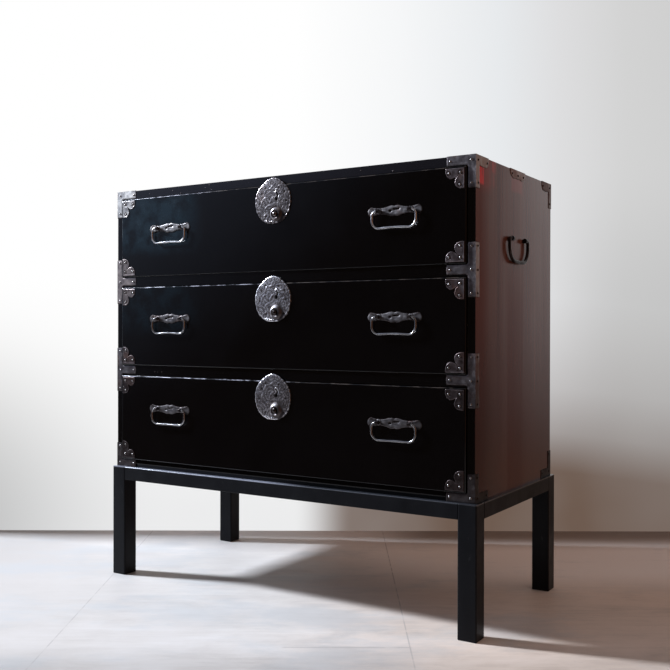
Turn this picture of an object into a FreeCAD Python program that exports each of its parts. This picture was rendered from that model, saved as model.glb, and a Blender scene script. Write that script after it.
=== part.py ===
"""Small tansu chest: three drawers in a lacquered case with iron fittings, on a low four-legged stand.

Millimetres, +Z up, drawer fronts face -Y. Everything is drawn with y = 0 at the face of the case's
front fittings and z = 0 on the floor, and is shifted along Y once, at the end, so that the origin is
the bottom centre of the whole object's box.
"""
import FreeCAD
import Part
import math
import os

V = FreeCAD.Vector

# ---- case ----
case_w = 900.0            # over the side fittings
case_d = 412.0            # over the front and back fittings
case_h = 637.0            # over the top fittings
plate_t = 1.0             # case fittings and drawer corner plates
side_t = 15.0
top_t = 18.0
bottom_t = 18.0
back_t = 8.0
rail_h = 23.0
rail_d = 36.0
dust_t = 9.0
rabbet = 7.0              # depth of the side boards' rabbets for top, bottom and back
housing = 5.0             # depth of the side boards' housings for rails and dust boards
tongue = 8.0              # overlap of a dust board on its rail
bay_h = [180.0, 180.0]    # upper and middle drawer openings; the lowest takes what is left
foot_chamfer_h = 9.5      # eased lower arris of the bottom board, between the corner plates
foot_chamfer_d = 2.5

# ---- stand ----
stand_h = 250.0
stand_over_side = 6.0     # how far the stand stands out beyond the case
stand_over_front = 8.0
stand_over_back = 10.0
leg_w = 38.0
leg_round = 3.0
foot_round = 1.5
stand_rail_h = 30.0
stand_rail_t = 20.0
tenon_l = 14.0
tenon_t = 10.0
tenon_h = 20.0
tenon_gap = 0.1

# ---- drawers ----
proud = 3.0               # drawer face ahead of the case fittings
front_t = 18.0
front_chamfer = 1.5
gap_top = 1.5
gap_low = 0.5
gap_side = 2.0
gap_rear = 1.0
box_side_t = 12.0
box_back_t = 10.0
box_bottom_t = 8.0
box_drop = 6.0            # box sides lower than the front
side_lap = 10.0           # side boards let into the front
bottom_lap = 6.0          # bottom let into the sides and the front
back_dado = 4.0
back_inset = 4.0          # back stands in from the rear ends of the sides

# ---- nails ----
nail_r = 0.9
nail_l = 9.0
dome_r = 2.4
dome_h = 1.5
pin_r = 1.3               # flat pins of the lock plates
pin_stand = 0.25
pin_l = 5.0               # short of the lock case behind the front
nail_gap = 0.05

# ---- drawer corner plates ----
corner_inset = 3.0
corner_leg = 37.5
corner_tip = 8.0
corner_lobe = (27.0, 19.8)
corner_notch = 14.0
corner_nails = [(8.2, 8.2), (31.2, 8.8), (9.2, 30.2)]

# ---- case corner plates and straps ----
strap_w = 16.0            # on the front stiles
strap_side_w = 17.0       # on the side and back faces
arm_len = 58.5            # front arms, from the case's side
side_arm_len = 60.0
tee_up = 51.0
tee_down = 49.5
tee_arm_up = 10.0
tee_arm_down = 8.0
top_leg = 61.0
foot_leg = 54.0
corner_arm_h = 18.5
strap_nail = 9.5          # nail centres in from a plate's edges
mid_plate_l = 84.0
mid_plate_nails = 31.0

# ---- drawer handles ----
handle_x = 285.0          # handle centre from the drawer's centre
handle_z = 73.0           # pivot below the opening's top
backplate_t = 1.2
post_x = 34.5
eye_r = 4.0
eye_w = 6.0
eye_out = 6.0             # pivot ahead of the drawer face
shank_r = 2.5
washer_r = 6.0
washer_t = 1.5
bail_r = 2.0
bail_half = 47.5
bail_drop = 34.0
bail_top_r = 9.8
bail_low_r = 16.0
bail_end = 3.5            # bail's end beyond the eye's centre
pivot_gap = 0.08
shank_gap = 0.1

# ---- side carrying handles ----
carry_y = 205.0
carry_z = 748.0
carry_post = 35.5
carry_out = 5.5           # pivot outside the side board
carry_r = 3.0
carry_eye_r = 4.8
carry_half = 50.0
carry_drop = 45.0
carry_top_r = 6.0
carry_low_r = 30.0

# ---- locks ----
lock_t = 2.0
lock_low = 81.0           # lowest and highest points of the plate, from the opening's top
lock_high = 13.5
knob_x = 7.5
knob_z = 62.0
collar_r = 15.0
collar_top_r = 10.0
collar_h = 4.5
knob_r = 4.9
knob_out = 3.5            # button ahead of its collar
knob_flange_r = 6.0
knob_flange_t = 1.5
knob_stem_r = 3.0
knob_travel = 4.0
bolt_travel = 8.0
bolt_w = 20.0
bolt_t = 3.4
bolt_slack = 0.3
mortise_depth = 10.0
key_x = 9.3
key_z = 31.0
key_r = 3.4
key_slot_w = 3.2
key_slot = [(0.0, 0.0), (4.0, 7.8), (0.0, 13.2)]
lock_pins = [(-18.0, 7.0), (16.0, 8.0), (-28.0, 18.0), (30.0, 17.0),
             (-33.0, 39.0), (33.5, 36.0), (-17.0, 66.0), (27.0, 65.0)]
lockbox_w = 56.0
lockbox_low = 86.0
lockbox_high = 12.0
lockbox_t = 1.2
lockbox_depth = 12.0
lockbox_gap = 0.1
flange_gap = 0.1

# ---- derived ----
half = case_w / 2
wood_half = half - plate_t
wood_front = plate_t
wood_back = case_d - plate_t
z_bottom = stand_h
z_top = stand_h + case_h
z_wood_top = z_top - plate_t
inner_half = wood_half - side_t
board_half = inner_half + rabbet
rail_half = inner_half + housing
board_back = wood_back - back_t
bay_top = [z_wood_top - top_t]
for h in bay_h:
    bay_top.append(bay_top[-1] - h - rail_h)
bay_low = [bay_top[i] - h for i, h in enumerate(bay_h)] + [z_bottom + bottom_t]
face_y = -proud
front_back_y = face_y + front_t
front_half = inner_half - gap_side
knob_tip_y = face_y - lock_t - collar_h - knob_out
stand_half = half + stand_over_side
stand_front = -stand_over_front
stand_back = case_d + stand_over_back
y_shift = -(stand_back + knob_tip_y) / 2
bolt_ratio = bolt_travel / knob_travel
lockbox_y = front_back_y - lockbox_depth
ramp_y = lockbox_y + lockbox_t + 3.3
bolt_back = front_back_y - lockbox_t - 0.8

os.makedirs("parts", exist_ok=True)


def box(x0, x1, y0, y1, z0, z1):
    return Part.makeBox(x1 - x0, y1 - y0, z1 - z0, V(x0, y0, z0))


def rod(r, start, end):
    d = end - start
    return Part.makeCylinder(r, d.Length, start, d)


def mirror_x(shape):
    return shape.mirror(V(0, 0, 0), V(1, 0, 0))


def fuse(shapes):
    return shapes[0].multiFuse(shapes[1:]).removeSplitter() if len(shapes) > 1 else shapes[0]


def save(node, shapes):
    """Writes one node: one solid, or several like solids side by side."""
    shapes = shapes if isinstance(shapes, list) else [shapes]
    solids = []
    for s in shapes:
        solids += s.Solids
    shape = solids[0] if len(solids) == 1 else Part.makeCompound(solids)
    shape = shape.copy()
    shape.translate(V(0, y_shift, 0))
    shape.exportStep("parts/%s.step" % node)


def slab(outline, depth, place):
    """A plate from an outline of (u, v, bulge); place maps (u, v, w) to a point, w across the plate.

    bulge is the sagitta of the arc from that point to the next, positive to the right of the way.
    """
    edges = []
    for (u0, v0, b), (u1, v1, _) in zip(outline, outline[1:] + outline[:1]):
        p, q = place(u0, v0, 0.0), place(u1, v1, 0.0)
        if b == 0:
            edges.append(Part.LineSegment(p, q).toShape())
            continue
        span = math.hypot(u1 - u0, v1 - v0)
        nu, nv = (v1 - v0) / span, -(u1 - u0) / span
        m = place((u0 + u1) / 2 + nu * b, (v0 + v1) / 2 + nv * b, 0.0)
        edges.append(Part.Arc(p, m, q).toShape())
    face = Part.Face(Part.Wire(edges))
    return face.extrude(place(0, 0, depth) - place(0, 0, 0))


def front_place(x, z, y, su=1.0, sv=1.0):
    """Outline plane parallel to the front: u along X, v along Z, plate thickness towards -Y."""
    return lambda u, v, w: V(x + su * u, y - w, z + sv * v)


def side_place(y, z, x, su=1.0, sv=1.0):
    """Outline plane parallel to the right side: u along Y, v along Z, thickness towards +X."""
    return lambda u, v, w: V(x + w, y + su * u, z + sv * v)


def dome(point, out):
    """A domed nail with its head's underside at the point, pointing along out."""
    ball_r = (dome_r ** 2 + dome_h ** 2) / (2 * dome_h)
    cap = Part.makeSphere(ball_r, V(0, 0, dome_h - ball_r))
    cap = cap.common(Part.makeCylinder(dome_r + 1, dome_h + 1))
    nail = cap.fuse(Part.makeCylinder(nail_r, nail_l, V(0, 0, -nail_l + 0.2)))
    nail.Placement = FreeCAD.Placement(point, FreeCAD.Rotation(V(0, 0, 1), out))
    return nail


def pin(point, out):
    head = Part.makeCylinder(pin_r, pin_stand + lock_t)
    head = head.fuse(Part.makeCylinder(nail_r, pin_l, V(0, 0, -pin_l + 0.2)))
    head.Placement = FreeCAD.Placement(point, FreeCAD.Rotation(V(0, 0, 1), out))
    return head


def nail_hole(point, out, length=nail_l):
    return rod(nail_r + nail_gap, point + out * 4, point - out * (length + 0.3))


def bent_rod(points, r):
    """A round rod along (point, corner radius) stations."""
    edges, last = [], points[0][0]
    for (p, rad), (q, _) in zip(points[1:], points[2:]):
        a, b = (last - p).normalize(), (q - p).normalize()
        cut = rad / math.tan(a.getAngle(b) / 2)
        s, e = p + a * cut, p + b * cut
        mid_dir = (a + b).normalize()
        m = p + mid_dir * (math.hypot(rad, cut) - rad)
        edges.append(Part.LineSegment(last, s).toShape())
        edges.append(Part.Arc(s, m, e).toShape())
        last = e
    edges.append(Part.LineSegment(last, points[-1][0]).toShape())
    path = Part.Wire(edges)
    ring = Part.Wire(Part.Circle(points[0][0], points[1][0] - points[0][0], r).toShape())
    return path.makePipeShell([ring], True, False)


def bail(centre, across, half_post, half_w, drop, r, top_r, low_r):
    """A hanging bail: its ends lie in two eyes along the pivot, its loop hangs below."""
    down = V(0, 0, -1)
    end = half_post - bail_end
    pts = [(centre - across * end, 0), (centre - across * half_w, top_r),
           (centre - across * half_w + down * drop, low_r),
           (centre + across * half_w + down * drop, low_r),
           (centre + across * half_w, top_r), (centre + across * end, 0)]
    return bent_rod(pts, r)


def eye_post(pivot, out, across, r_eye, r_rod, surface, inside):
    """An eye that holds a bail's end: ring, shank through the board and a washer clenched inside.

    surface and inside are distances from the pivot back to the board's two faces.
    """
    ring = rod(r_eye, pivot - across * (eye_w / 2), pivot + across * (eye_w / 2))
    shank = rod(shank_r, pivot - out * (r_eye * 0.5), pivot - out * inside)
    washer = rod(washer_r, pivot - out * inside, pivot - out * (inside + washer_t))
    hole = rod(r_rod + pivot_gap, pivot - across * eye_w, pivot + across * eye_w)
    collar = rod(shank_r + 1.0, pivot - out * (r_eye * 0.7), pivot - out * surface)
    return fuse([ring, shank, washer, collar]).cut(hole)


# ======== case ========
right = box(inner_half, wood_half, wood_front, wood_back, z_bottom, z_wood_top)
cuts = [box(inner_half, board_half, wood_front, board_back, z_wood_top - top_t, z_wood_top),
        box(inner_half, board_half, wood_front, board_back, z_bottom, z_bottom + bottom_t),
        box(inner_half, board_half, board_back, wood_back, z_bottom, z_wood_top)]
for i in range(2):
    top, low = bay_low[i], bay_top[i + 1]
    cuts.append(box(inner_half, rail_half, wood_front, wood_front + rail_d, low, top))
    cuts.append(box(inner_half, rail_half, wood_front + rail_d - tongue, board_back, top - dust_t, top))

case_plates, case_domes = [], []


def case_nail(point, out):
    """A nail through a case plate: its head stands on the plate's face."""
    case_domes.append((point, out))


X, Y, Z = V(1, 0, 0), V(0, 1, 0), V(0, 0, 1)
arm_in = half - arm_len
stile_in = half - strap_w
plates = []

# T plates over the ends of the two rails
for i in range(2):
    mid = (bay_low[i] + bay_top[i + 1]) / 2
    up, down = mid + tee_up, mid - tee_down
    plates.append(fuse([box(stile_in, half, 0, plate_t, down, up),
                        box(arm_in, half, 0, plate_t, mid - tee_arm_down, mid + tee_arm_up),
                        box(wood_half, half, 0, strap_side_w, down, up)]))
    for z in (up - 7.0, mid, down + 7.0):
        case_nail(V(half - strap_nail, 0, z), -Y)
        case_nail(V(half, strap_nail, z), X)
    case_nail(V(arm_in + 7.0, 0, mid + 1.0), -Y)

# top front corner: front L, side L with a lobed arm, and a strip folded over the top edge
arm_low = z_top - corner_arm_h
lobed_arm = [(0, 0, 0), (side_arm_len - 9, 0, 3.0), (side_arm_len - 1, 9, 1.6), (side_arm_len, 19, 0),
             (0, 19, 0)]
plates.append(fuse([box(stile_in, half, 0, plate_t, z_top - top_leg, z_top),
                    box(arm_in, half, 0, plate_t, arm_low, z_top),
                    box(wood_half, half, 0, strap_side_w, z_top - top_leg, z_top),
                    slab(lobed_arm, plate_t, side_place(0, z_top - 19, wood_half)),
                    box(stile_in, half, 0, side_arm_len - 1, z_wood_top, z_top)]))
for z in (z_top - strap_nail, z_top - top_leg + strap_nail):
    case_nail(V(half - strap_nail, 0, z), -Y)
    case_nail(V(half, strap_nail + 1, z), X)
case_nail(V(arm_in + 7.0, 0, z_top - strap_nail - 0.5), -Y)
case_nail(V(half, side_arm_len - 8, z_top - strap_nail - 0.5), X)

# top rear corner
plates.append(fuse([box(wood_half, half, case_d - strap_side_w, case_d, z_top - foot_leg, z_top),
                    slab(lobed_arm, plate_t, side_place(case_d, z_top - 19, wood_half, su=-1.0)),
                    box(stile_in, half, wood_back, case_d, z_top - foot_leg, z_top),
                    box(stile_in, half, case_d - side_arm_len + 1, case_d, z_wood_top, z_top)]))
for z in (z_top - strap_nail, z_top - foot_leg + strap_nail):
    case_nail(V(half, case_d - strap_nail, z), X)
    case_nail(V(half - strap_nail, case_d, z), Y)
case_nail(V(half, case_d - side_arm_len + 8, z_top - strap_nail - 0.5), X)

# bottom front corner and bottom rear corner
foot_arm = z_bottom + corner_arm_h - 1.0
plates.append(fuse([box(stile_in, half, 0, plate_t, z_bottom, z_bottom + foot_leg),
                    box(arm_in, half, 0, plate_t, z_bottom, foot_arm),
                    box(wood_half, half, 0, strap_side_w, z_bottom, z_bottom + foot_leg),
                    box(wood_half, half, 0, side_arm_len, z_bottom, foot_arm)]))
plates.append(fuse([box(wood_half, half, case_d - strap_side_w, case_d, z_bottom, z_bottom + foot_leg),
                    box(wood_half, half, case_d - side_arm_len, case_d, z_bottom, foot_arm),
                    box(stile_in, half, wood_back, case_d, z_bottom, z_bottom + foot_leg)]))
for z in (z_bottom + strap_nail, z_bottom + foot_leg - 7.0):
    case_nail(V(half - strap_nail, 0, z), -Y)
    case_nail(V(half, strap_nail, z), X)
    case_nail(V(half, case_d - strap_nail, z), X)
    case_nail(V(half - strap_nail, case_d, z), Y)
case_nail(V(arm_in + 7.0, 0, z_bottom + strap_nail - 0.5), -Y)
case_nail(V(half, side_arm_len - 8, z_bottom + strap_nail), X)
case_nail(V(half, case_d - side_arm_len + 8, z_bottom + strap_nail), X)

# cloud-shaped clip over the middle of each top side edge
mp = mid_plate_l / 2
cloud = [(-mp, 19, 0), (-mp, 14, 2.0), (-mp + 12, 3, 2.2), (-12, 2.5, 1.5), (12, 2.5, 2.2), (mp - 12, 3, 2.0),
         (mp, 14, 0), (mp, 19, 0)]
mid_y = case_d / 2 + 5.0
plates.append(fuse([slab(cloud, plate_t, side_place(mid_y, z_top - 19, wood_half)),
                    box(stile_in, half, mid_y - mp, mid_y + mp, z_wood_top, z_top)]))
for dy in (-mid_plate_nails, 0.0, mid_plate_nails):
    case_nail(V(half, mid_y + dy, z_top - strap_nail - (0.8 if dy == 0 else 0.0)), X)

holes = [nail_hole(p, out) for p, out in case_domes]
for p in plates:
    near = [h for h in holes if h.BoundBox.intersect(p.BoundBox)]
    plate = p.cut(near)
    case_plates += [plate, mirror_x(plate)]
save("case_corner_plates", case_plates)
nails = [dome(p, out) for p, out in case_domes]
save("case_nails", nails + [mirror_x(n) for n in nails])

# carrying handles on the two sides
carry = V(wood_half + carry_out, carry_y, carry_z)
posts = [eye_post(carry + Y * (s * carry_post), X, Y, carry_eye_r, carry_r, carry_out, carry_out + side_t - 3.0)
         for s in (-1, 1)]
loop = bail(carry, Y, carry_post, carry_half, carry_drop, carry_r, carry_top_r, carry_low_r)
save("side_handle_posts", posts + [mirror_x(p) for p in posts])
save("side_bail_right", loop)
save("side_bail_left", mirror_x(loop))
for s in (-1, 1):
    c = carry + Y * (s * carry_post)
    cuts.append(rod(shank_r + shank_gap, c, c - X * (carry_out + side_t + 1)))
    cuts.append(rod(washer_r + shank_gap, c - X * (carry_out + side_t - 3.0), c - X * (carry_out + side_t + 1)))

side_holes = [h for h, (p, out) in zip(holes, case_domes) if p.x > inner_half]
right = right.cut(cuts + side_holes)
save("case_side_right", right)
save("case_side_left", mirror_x(right))


def with_nail_holes(board):
    both = holes + [mirror_x(h) for h in holes]
    near = [h for h in both if h.BoundBox.intersect(board.BoundBox)]
    return board.cut(near) if near else board


def bolt_mortise(z_face):
    x0, x1 = knob_x - bolt_w / 2 - 1.0, knob_x + bolt_w / 2 + 1.0
    return box(x0, x1, bolt_back - bolt_t - 0.8, bolt_back + 0.8, z_face, z_face + mortise_depth)


top_board = box(-board_half, board_half, wood_front, board_back, z_wood_top - top_t, z_wood_top)
save("case_top", with_nail_holes(top_board.cut(bolt_mortise(bay_top[0]))))

bottom_board = box(-board_half, board_half, wood_front, board_back, z_bottom, z_bottom + bottom_t)
ease = [(0, 0, 0), (foot_chamfer_d, 0, 0), (0, foot_chamfer_h, 0)]
ease_len = arm_in - 2.0
chamfer = slab(ease, 2 * ease_len, lambda u, v, w: V(-ease_len + w, wood_front + u, z_bottom + v))
save("case_bottom", with_nail_holes(bottom_board.cut(chamfer)))

back_board = box(-board_half, board_half, board_back, wood_back, z_bottom, z_wood_top)
save("case_back", with_nail_holes(back_board))

for i, name in enumerate(("upper", "lower")):
    top, low = bay_low[i], bay_top[i + 1]
    rail = box(-rail_half, rail_half, wood_front, wood_front + rail_d, low, top)
    step = box(-rail_half, rail_half, wood_front + rail_d - tongue, wood_front + rail_d, top - dust_t, top)
    save("case_rail_" + name, with_nail_holes(rail.cut([step, bolt_mortise(low)])))
    save("dust_board_" + name,
         box(-rail_half, rail_half, wood_front + rail_d - tongue, board_back, top - dust_t, top))

# ======== stand ========


def tenon(axis, x0, x1, y0, y1, grow=0.0):
    """A tenon or, grown, its mortise, between two stations along an axis."""
    mid_z = stand_h - stand_rail_h / 2
    z0, z1 = mid_z - tenon_h / 2 - grow, mid_z + tenon_h / 2 + grow
    if axis == "x":
        m = (y0 + y1) / 2
        return box(x0, x1, m - tenon_t / 2 - grow, m + tenon_t / 2 + grow, z0, z1)
    m = (x0 + x1) / 2
    return box(m - tenon_t / 2 - grow, m + tenon_t / 2 + grow, y0, y1, z0, z1)


leg_x = stand_half - leg_w


def leg(y0, rail_y0, into):
    """The right-hand leg that starts at y0; into is the way its end rail leaves it."""
    body = box(leg_x, stand_half, y0, y0 + leg_w, 0, stand_h)
    upright = [e for e in body.Edges if abs(e.Vertexes[0].Z - e.Vertexes[1].Z) > 1]
    body = body.makeFillet(leg_round, upright)
    foot = [e for e in body.Edges if max(v.Z for v in e.Vertexes) < 0.01]
    body = body.makeFillet(foot_round, foot)
    m1 = tenon("x", leg_x, leg_x + tenon_l + tenon_gap, rail_y0, rail_y0 + stand_rail_t, tenon_gap)
    inner = y0 + leg_w if into > 0 else y0
    ends = sorted((inner, inner - into * (tenon_l + tenon_gap)))
    m2 = tenon("y", stand_half - stand_rail_t, stand_half, ends[0], ends[1], tenon_gap)
    return body.cut([m1, m2])


front_leg = leg(stand_front, stand_front, 1)
rear_leg = leg(stand_back - leg_w, stand_back - stand_rail_t, -1)
save("stand_legs", [front_leg, rear_leg, mirror_x(front_leg), mirror_x(rear_leg)])


def long_rail(y0):
    bar = box(-leg_x, leg_x, y0, y0 + stand_rail_t, stand_h - stand_rail_h, stand_h)
    ends = [tenon("x", leg_x, leg_x + tenon_l, y0, y0 + stand_rail_t)]
    ends.append(mirror_x(ends[0]))
    return fuse([bar] + ends)


save("stand_rail_front", long_rail(stand_front))
save("stand_rail_rear", long_rail(stand_back - stand_rail_t))
x0, y0, y1 = stand_half - stand_rail_t, stand_front + leg_w, stand_back - leg_w
end_rail = fuse([box(x0, stand_half, y0, y1, stand_h - stand_rail_h, stand_h),
                 tenon("y", x0, stand_half, y0 - tenon_l, y0), tenon("y", x0, stand_half, y1, y1 + tenon_l)])
save("stand_end_rails", [end_rail, mirror_x(end_rail)])

# ======== drawers ========
corner_outline = [(0, 0, 0), (corner_leg, 0, 0.6), (corner_leg, corner_tip, 2.6),
                  (corner_lobe[0], corner_lobe[1], 1.1), (corner_notch, corner_notch, 1.1),
                  (corner_lobe[1], corner_lobe[0], 2.6), (corner_tip, corner_leg, 0.6), (0, corner_leg, 0)]

# right half of a handle's back plate, from its upper middle round to its lower middle
plate_half = [(0, 8.3, -1.3), (12.5, 8.6, 2.6), (50, 8.5, -2.6), (59, -2, -1.2), (52, -10.5, 3.4),
              (13, -9.3, -1.6), (0, -9.8, 0)]

# slots through a handle's back plate: from, to, width
pierced = [((-10.2, -0.8), (-8.4, -0.6), 4.0), ((-2.0, 2.2), (9.5, 2.9), 2.8)]


def handle_outline():
    """The half outline, then the same mirrored and walked back."""
    ways = plate_half[:-1]
    back = [(-u, v, b) for (u, v, _), (_, _, b) in zip(plate_half[::-1], plate_half[-2::-1])]
    return [(u, v, b) for u, v, b in ways] + back


# lock plate outline, right half, about the middle of its height
lock_half = [(0, 47.25, -0.6), (10, 44.8, -1.3), (20.5, 38.7, -1.2), (29.5, 31.4, -1.2), (37.6, 22.8, -1.3),
             (42.8, 11.2, -1.3), (44.3, -2, -1.3), (42.7, -15, -1.3), (38, -27, -1.3), (30.2, -36.3, -1.3),
             (19.8, -43.3, -1.2), (8.5, -46.7, -0.5), (0, -47.25, 0)]


def lock_outline():
    ways = lock_half[:-1]
    back = [(-u, v, b) for (u, v, _), (_, _, b) in zip(lock_half[::-1], lock_half[-2::-1])]
    return [(u, v, b) for u, v, b in ways] + back


def slot(place, w, a, b):
    """A round-ended slot cutter in an outline plane, from a to b."""
    span = math.hypot(b[0] - a[0], b[1] - a[1])
    nu, nv = -(b[1] - a[1]) / span * w / 2, (b[0] - a[0]) / span * w / 2
    pts = [(a[0] + nu, a[1] + nv, 0), (b[0] + nu, b[1] + nv, -w / 2),
           (b[0] - nu, b[1] - nv, 0), (a[0] - nu, a[1] - nv, -w / 2)]
    return slab(pts, 30.0, lambda u, v, t: place(u, v, t - 15.0))


for n in range(3):
    name = "drawer_%d_" % (n + 1)
    ztop = bay_top[n]
    z1, z0 = ztop - gap_top, bay_low[n] + gap_low
    z_side = z1 - box_drop
    out = -Y

    # ---- front board ----
    front = box(-front_half, front_half, face_y, front_back_y, z0, z1)
    rim = [e for e in front.Edges if all(abs(v.Y - face_y) < 0.01 for v in e.Vertexes)]
    front = front.makeChamfer(front_chamfer, rim)
    lap_y, low_y = front_back_y - side_lap, front_back_y - bottom_lap
    inner = front_half - box_side_t
    cuts = [box(s * inner if s > 0 else -front_half, front_half if s > 0 else -inner,
                lap_y, front_back_y, z0, z_side) for s in (-1, 1)]
    cuts.append(box(-inner, inner, low_y, front_back_y, z0, z0 + box_bottom_t))

    # ---- corner plates and their nails ----
    corner_solids, nail_solids, holes = [], [], []
    for su in (-1, 1):
        for sv in (-1, 1):
            cx = su * (front_half - corner_inset)
            cz = (z1 if sv > 0 else z0) - sv * corner_inset
            place = front_place(cx, cz, face_y, su=-su, sv=-sv)
            plate = slab(corner_outline, plate_t, place)
            pts = [place(u, v, plate_t) for u, v in corner_nails]
            mine = [nail_hole(p, out) for p in pts]
            corner_solids.append(plate.cut(mine))
            nail_solids += [dome(p, out) for p in pts]
            holes += mine
    save(name + "corner_plates", corner_solids)

    # ---- handles ----
    plate_solids, post_solids = [], []
    for side, s in (("left", -1), ("right", 1)):
        pivot = V(s * handle_x, face_y - eye_out, ztop - handle_z)
        place = front_place(pivot.x, pivot.z, face_y)
        plate = slab(handle_outline(), backplate_t, place)
        pierce = [slot(place, w, a, b) for a, b, w in pierced]
        shanks = []
        for e in (-1, 1):
            p = pivot + X * (e * post_x)
            post_solids.append(eye_post(p, out, X, eye_r, bail_r, eye_out - backplate_t, eye_out + front_t))
            shanks.append(rod(shank_r + shank_gap, p - out * 4.0, p - out * (eye_out + front_t + 1)))
        plate_solids.append(plate.cut(pierce + shanks))
        cuts += shanks
        save(name + "bail_" + side, bail(pivot, X, post_x, bail_half, bail_drop, bail_r, bail_top_r, bail_low_r))
    save(name + "handle_plates", plate_solids)
    save(name + "handle_posts", post_solids)

    # ---- lock plate with its raised collar, keyhole and pins ----
    mid = ztop + (lock_high - lock_low) / 2
    place = front_place(0, mid, face_y)
    plate = slab(lock_outline(), lock_t, place)
    kz = ztop - knob_z
    knob_c = V(knob_x, face_y - lock_t, kz)
    collar = Part.makeCone(collar_r, collar_top_r, collar_h, knob_c, out)
    bore = rod(knob_r + pivot_gap, knob_c + out * 20, knob_c - out * 10)
    key_place = front_place(key_x, ztop - key_z, face_y)
    key = [rod(key_r, V(key_x, face_y - 10, ztop - key_z), V(key_x, lockbox_y + lockbox_t + 0.5, ztop - key_z))]
    key += [slot(key_place, key_slot_w, a, b) for a, b in zip(key_slot, key_slot[1:])]
    pin_pts = [V(u, face_y, ztop - v) for u, v in lock_pins]
    pin_heads = [rod(pin_r + nail_gap, p, p + out * 6) for p in pin_pts]
    save(name + "lock_plate", fuse([plate, collar]).cut([bore] + key + pin_heads))
    nail_solids += [pin(p, out) for p in pin_pts]
    holes += [nail_hole(p, out, pin_l) for p in pin_pts]
    save(name + "nails", nail_solids)

    # ---- button: head in the collar, flange behind the plate, stem with a wedge tip ----
    tip = V(knob_x, knob_tip_y, kz)
    flange_y = face_y + flange_gap
    head_ball = (knob_r ** 2 + 2.4 ** 2) / (2 * 2.4)
    head = rod(knob_r, tip, V(knob_x, flange_y, kz))
    head = head.common(Part.makeSphere(head_ball, tip + Y * head_ball).fuse(
        box(knob_x - 9, knob_x + 9, knob_tip_y + 2.4, face_y + 9, kz - 9, kz + 9)))
    flange = rod(knob_flange_r, V(knob_x, flange_y, kz), V(knob_x, flange_y + knob_flange_t, kz))
    stem = rod(knob_stem_r, V(knob_x, flange_y, kz), V(knob_x, ramp_y + 6, kz))
    reach = 40.0

    def ramp(shift):
        """The half space behind the ramp that turns the button's push into the bolt's rise."""
        a, b = V(0, ramp_y + shift + reach / bolt_ratio, kz - reach), V(0, ramp_y + shift - reach / bolt_ratio,
                                                                       kz + reach)
        wire = Part.makePolygon([a, b, b + Y * 90, a + Y * 90, a])
        face = Part.Face(wire)
        face.translate(V(knob_x - reach, 0, 0))
        return face.extrude(V(2 * reach, 0, 0))

    stem = stem.cut(ramp(-0.1))
    save(name + "lock_knob", fuse([head, flange, stem]))

    # ---- bolt: a flat bar with the ramp at its lower end ----
    bx0, bx1 = knob_x - bolt_w / 2, knob_x + bolt_w / 2
    bar = box(bx0, bx1, bolt_back - bolt_t, bolt_back, kz - 15, z1 - 0.5)
    block = box(bx0, bx1, ramp_y - 1.5, bolt_back, kz - 15, kz + 12)
    save(name + "lock_bolt", fuse([bar, block]).common(ramp(0.0)))

    # ---- lock case, let into the back of the front board ----
    lx0, lx1 = knob_x - lockbox_w / 2, knob_x + lockbox_w / 2
    lz0, lz1 = ztop - lockbox_low, ztop - lockbox_high
    pocket = box(lx0, lx1, lockbox_y, front_back_y, lz0, lz1)
    g, t = lockbox_gap, lockbox_t
    shell = box(lx0 + g, lx1 - g, lockbox_y, front_back_y, lz0 + g, lz1 - g)
    inside = box(lx0 + g + t, lx1 - g - t, lockbox_y + t, front_back_y - t, lz0 + g + t, lz1 - g - t)
    way = box(bx0 - bolt_slack, bx1 + bolt_slack, bolt_back - bolt_t - bolt_slack, bolt_back + bolt_slack,
              lz1 - 5, z1 + 1)
    stem_hole = rod(knob_stem_r + pivot_gap, V(knob_x, face_y, kz), V(knob_x, lockbox_y + t + 1, kz))
    save(name + "lock_case", shell.cut([inside, way, stem_hole] + key))

    flange_hole = rod(knob_flange_r + 0.5, V(knob_x, face_y - 1, kz), V(knob_x, lockbox_y + 0.5, kz))
    front = front.cut(cuts + holes + [pocket, way, flange_hole] + key)
    save(name + "front", front)

    # ---- box: sides, back, bottom ----
    rear = board_back - gap_rear
    back_y = rear - back_inset - box_back_t
    side = box(inner, front_half, lap_y, rear, z0, z_side)
    side = side.cut([box(inner, inner + bottom_lap, low_y, rear, z0, z0 + box_bottom_t),
                     box(inner, inner + back_dado, back_y, back_y + box_back_t, z0 + box_bottom_t, z_side)])
    save(name + "sides", [side, mirror_x(side)])
    bw = inner + back_dado
    save(name + "back", box(-bw, bw, back_y, back_y + box_back_t, z0 + box_bottom_t, z_side))
    bw = inner + bottom_lap
    save(name + "bottom", box(-bw, bw, low_y, rear, z0, z0 + box_bottom_t))
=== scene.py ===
"""Looks of the small tansu chest: lacquered boards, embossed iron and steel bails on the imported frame.

Sizes are written in millimetres in the drawing's own axes, with y = 0 at the face of the case's front
fittings; mm() turns them into the frame's metres.
"""
import math

import bmesh
import bpy
import numpy as np
from mathutils import Matrix, Vector
from mathutils.geometry import delaunay_2d_cdt


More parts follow.
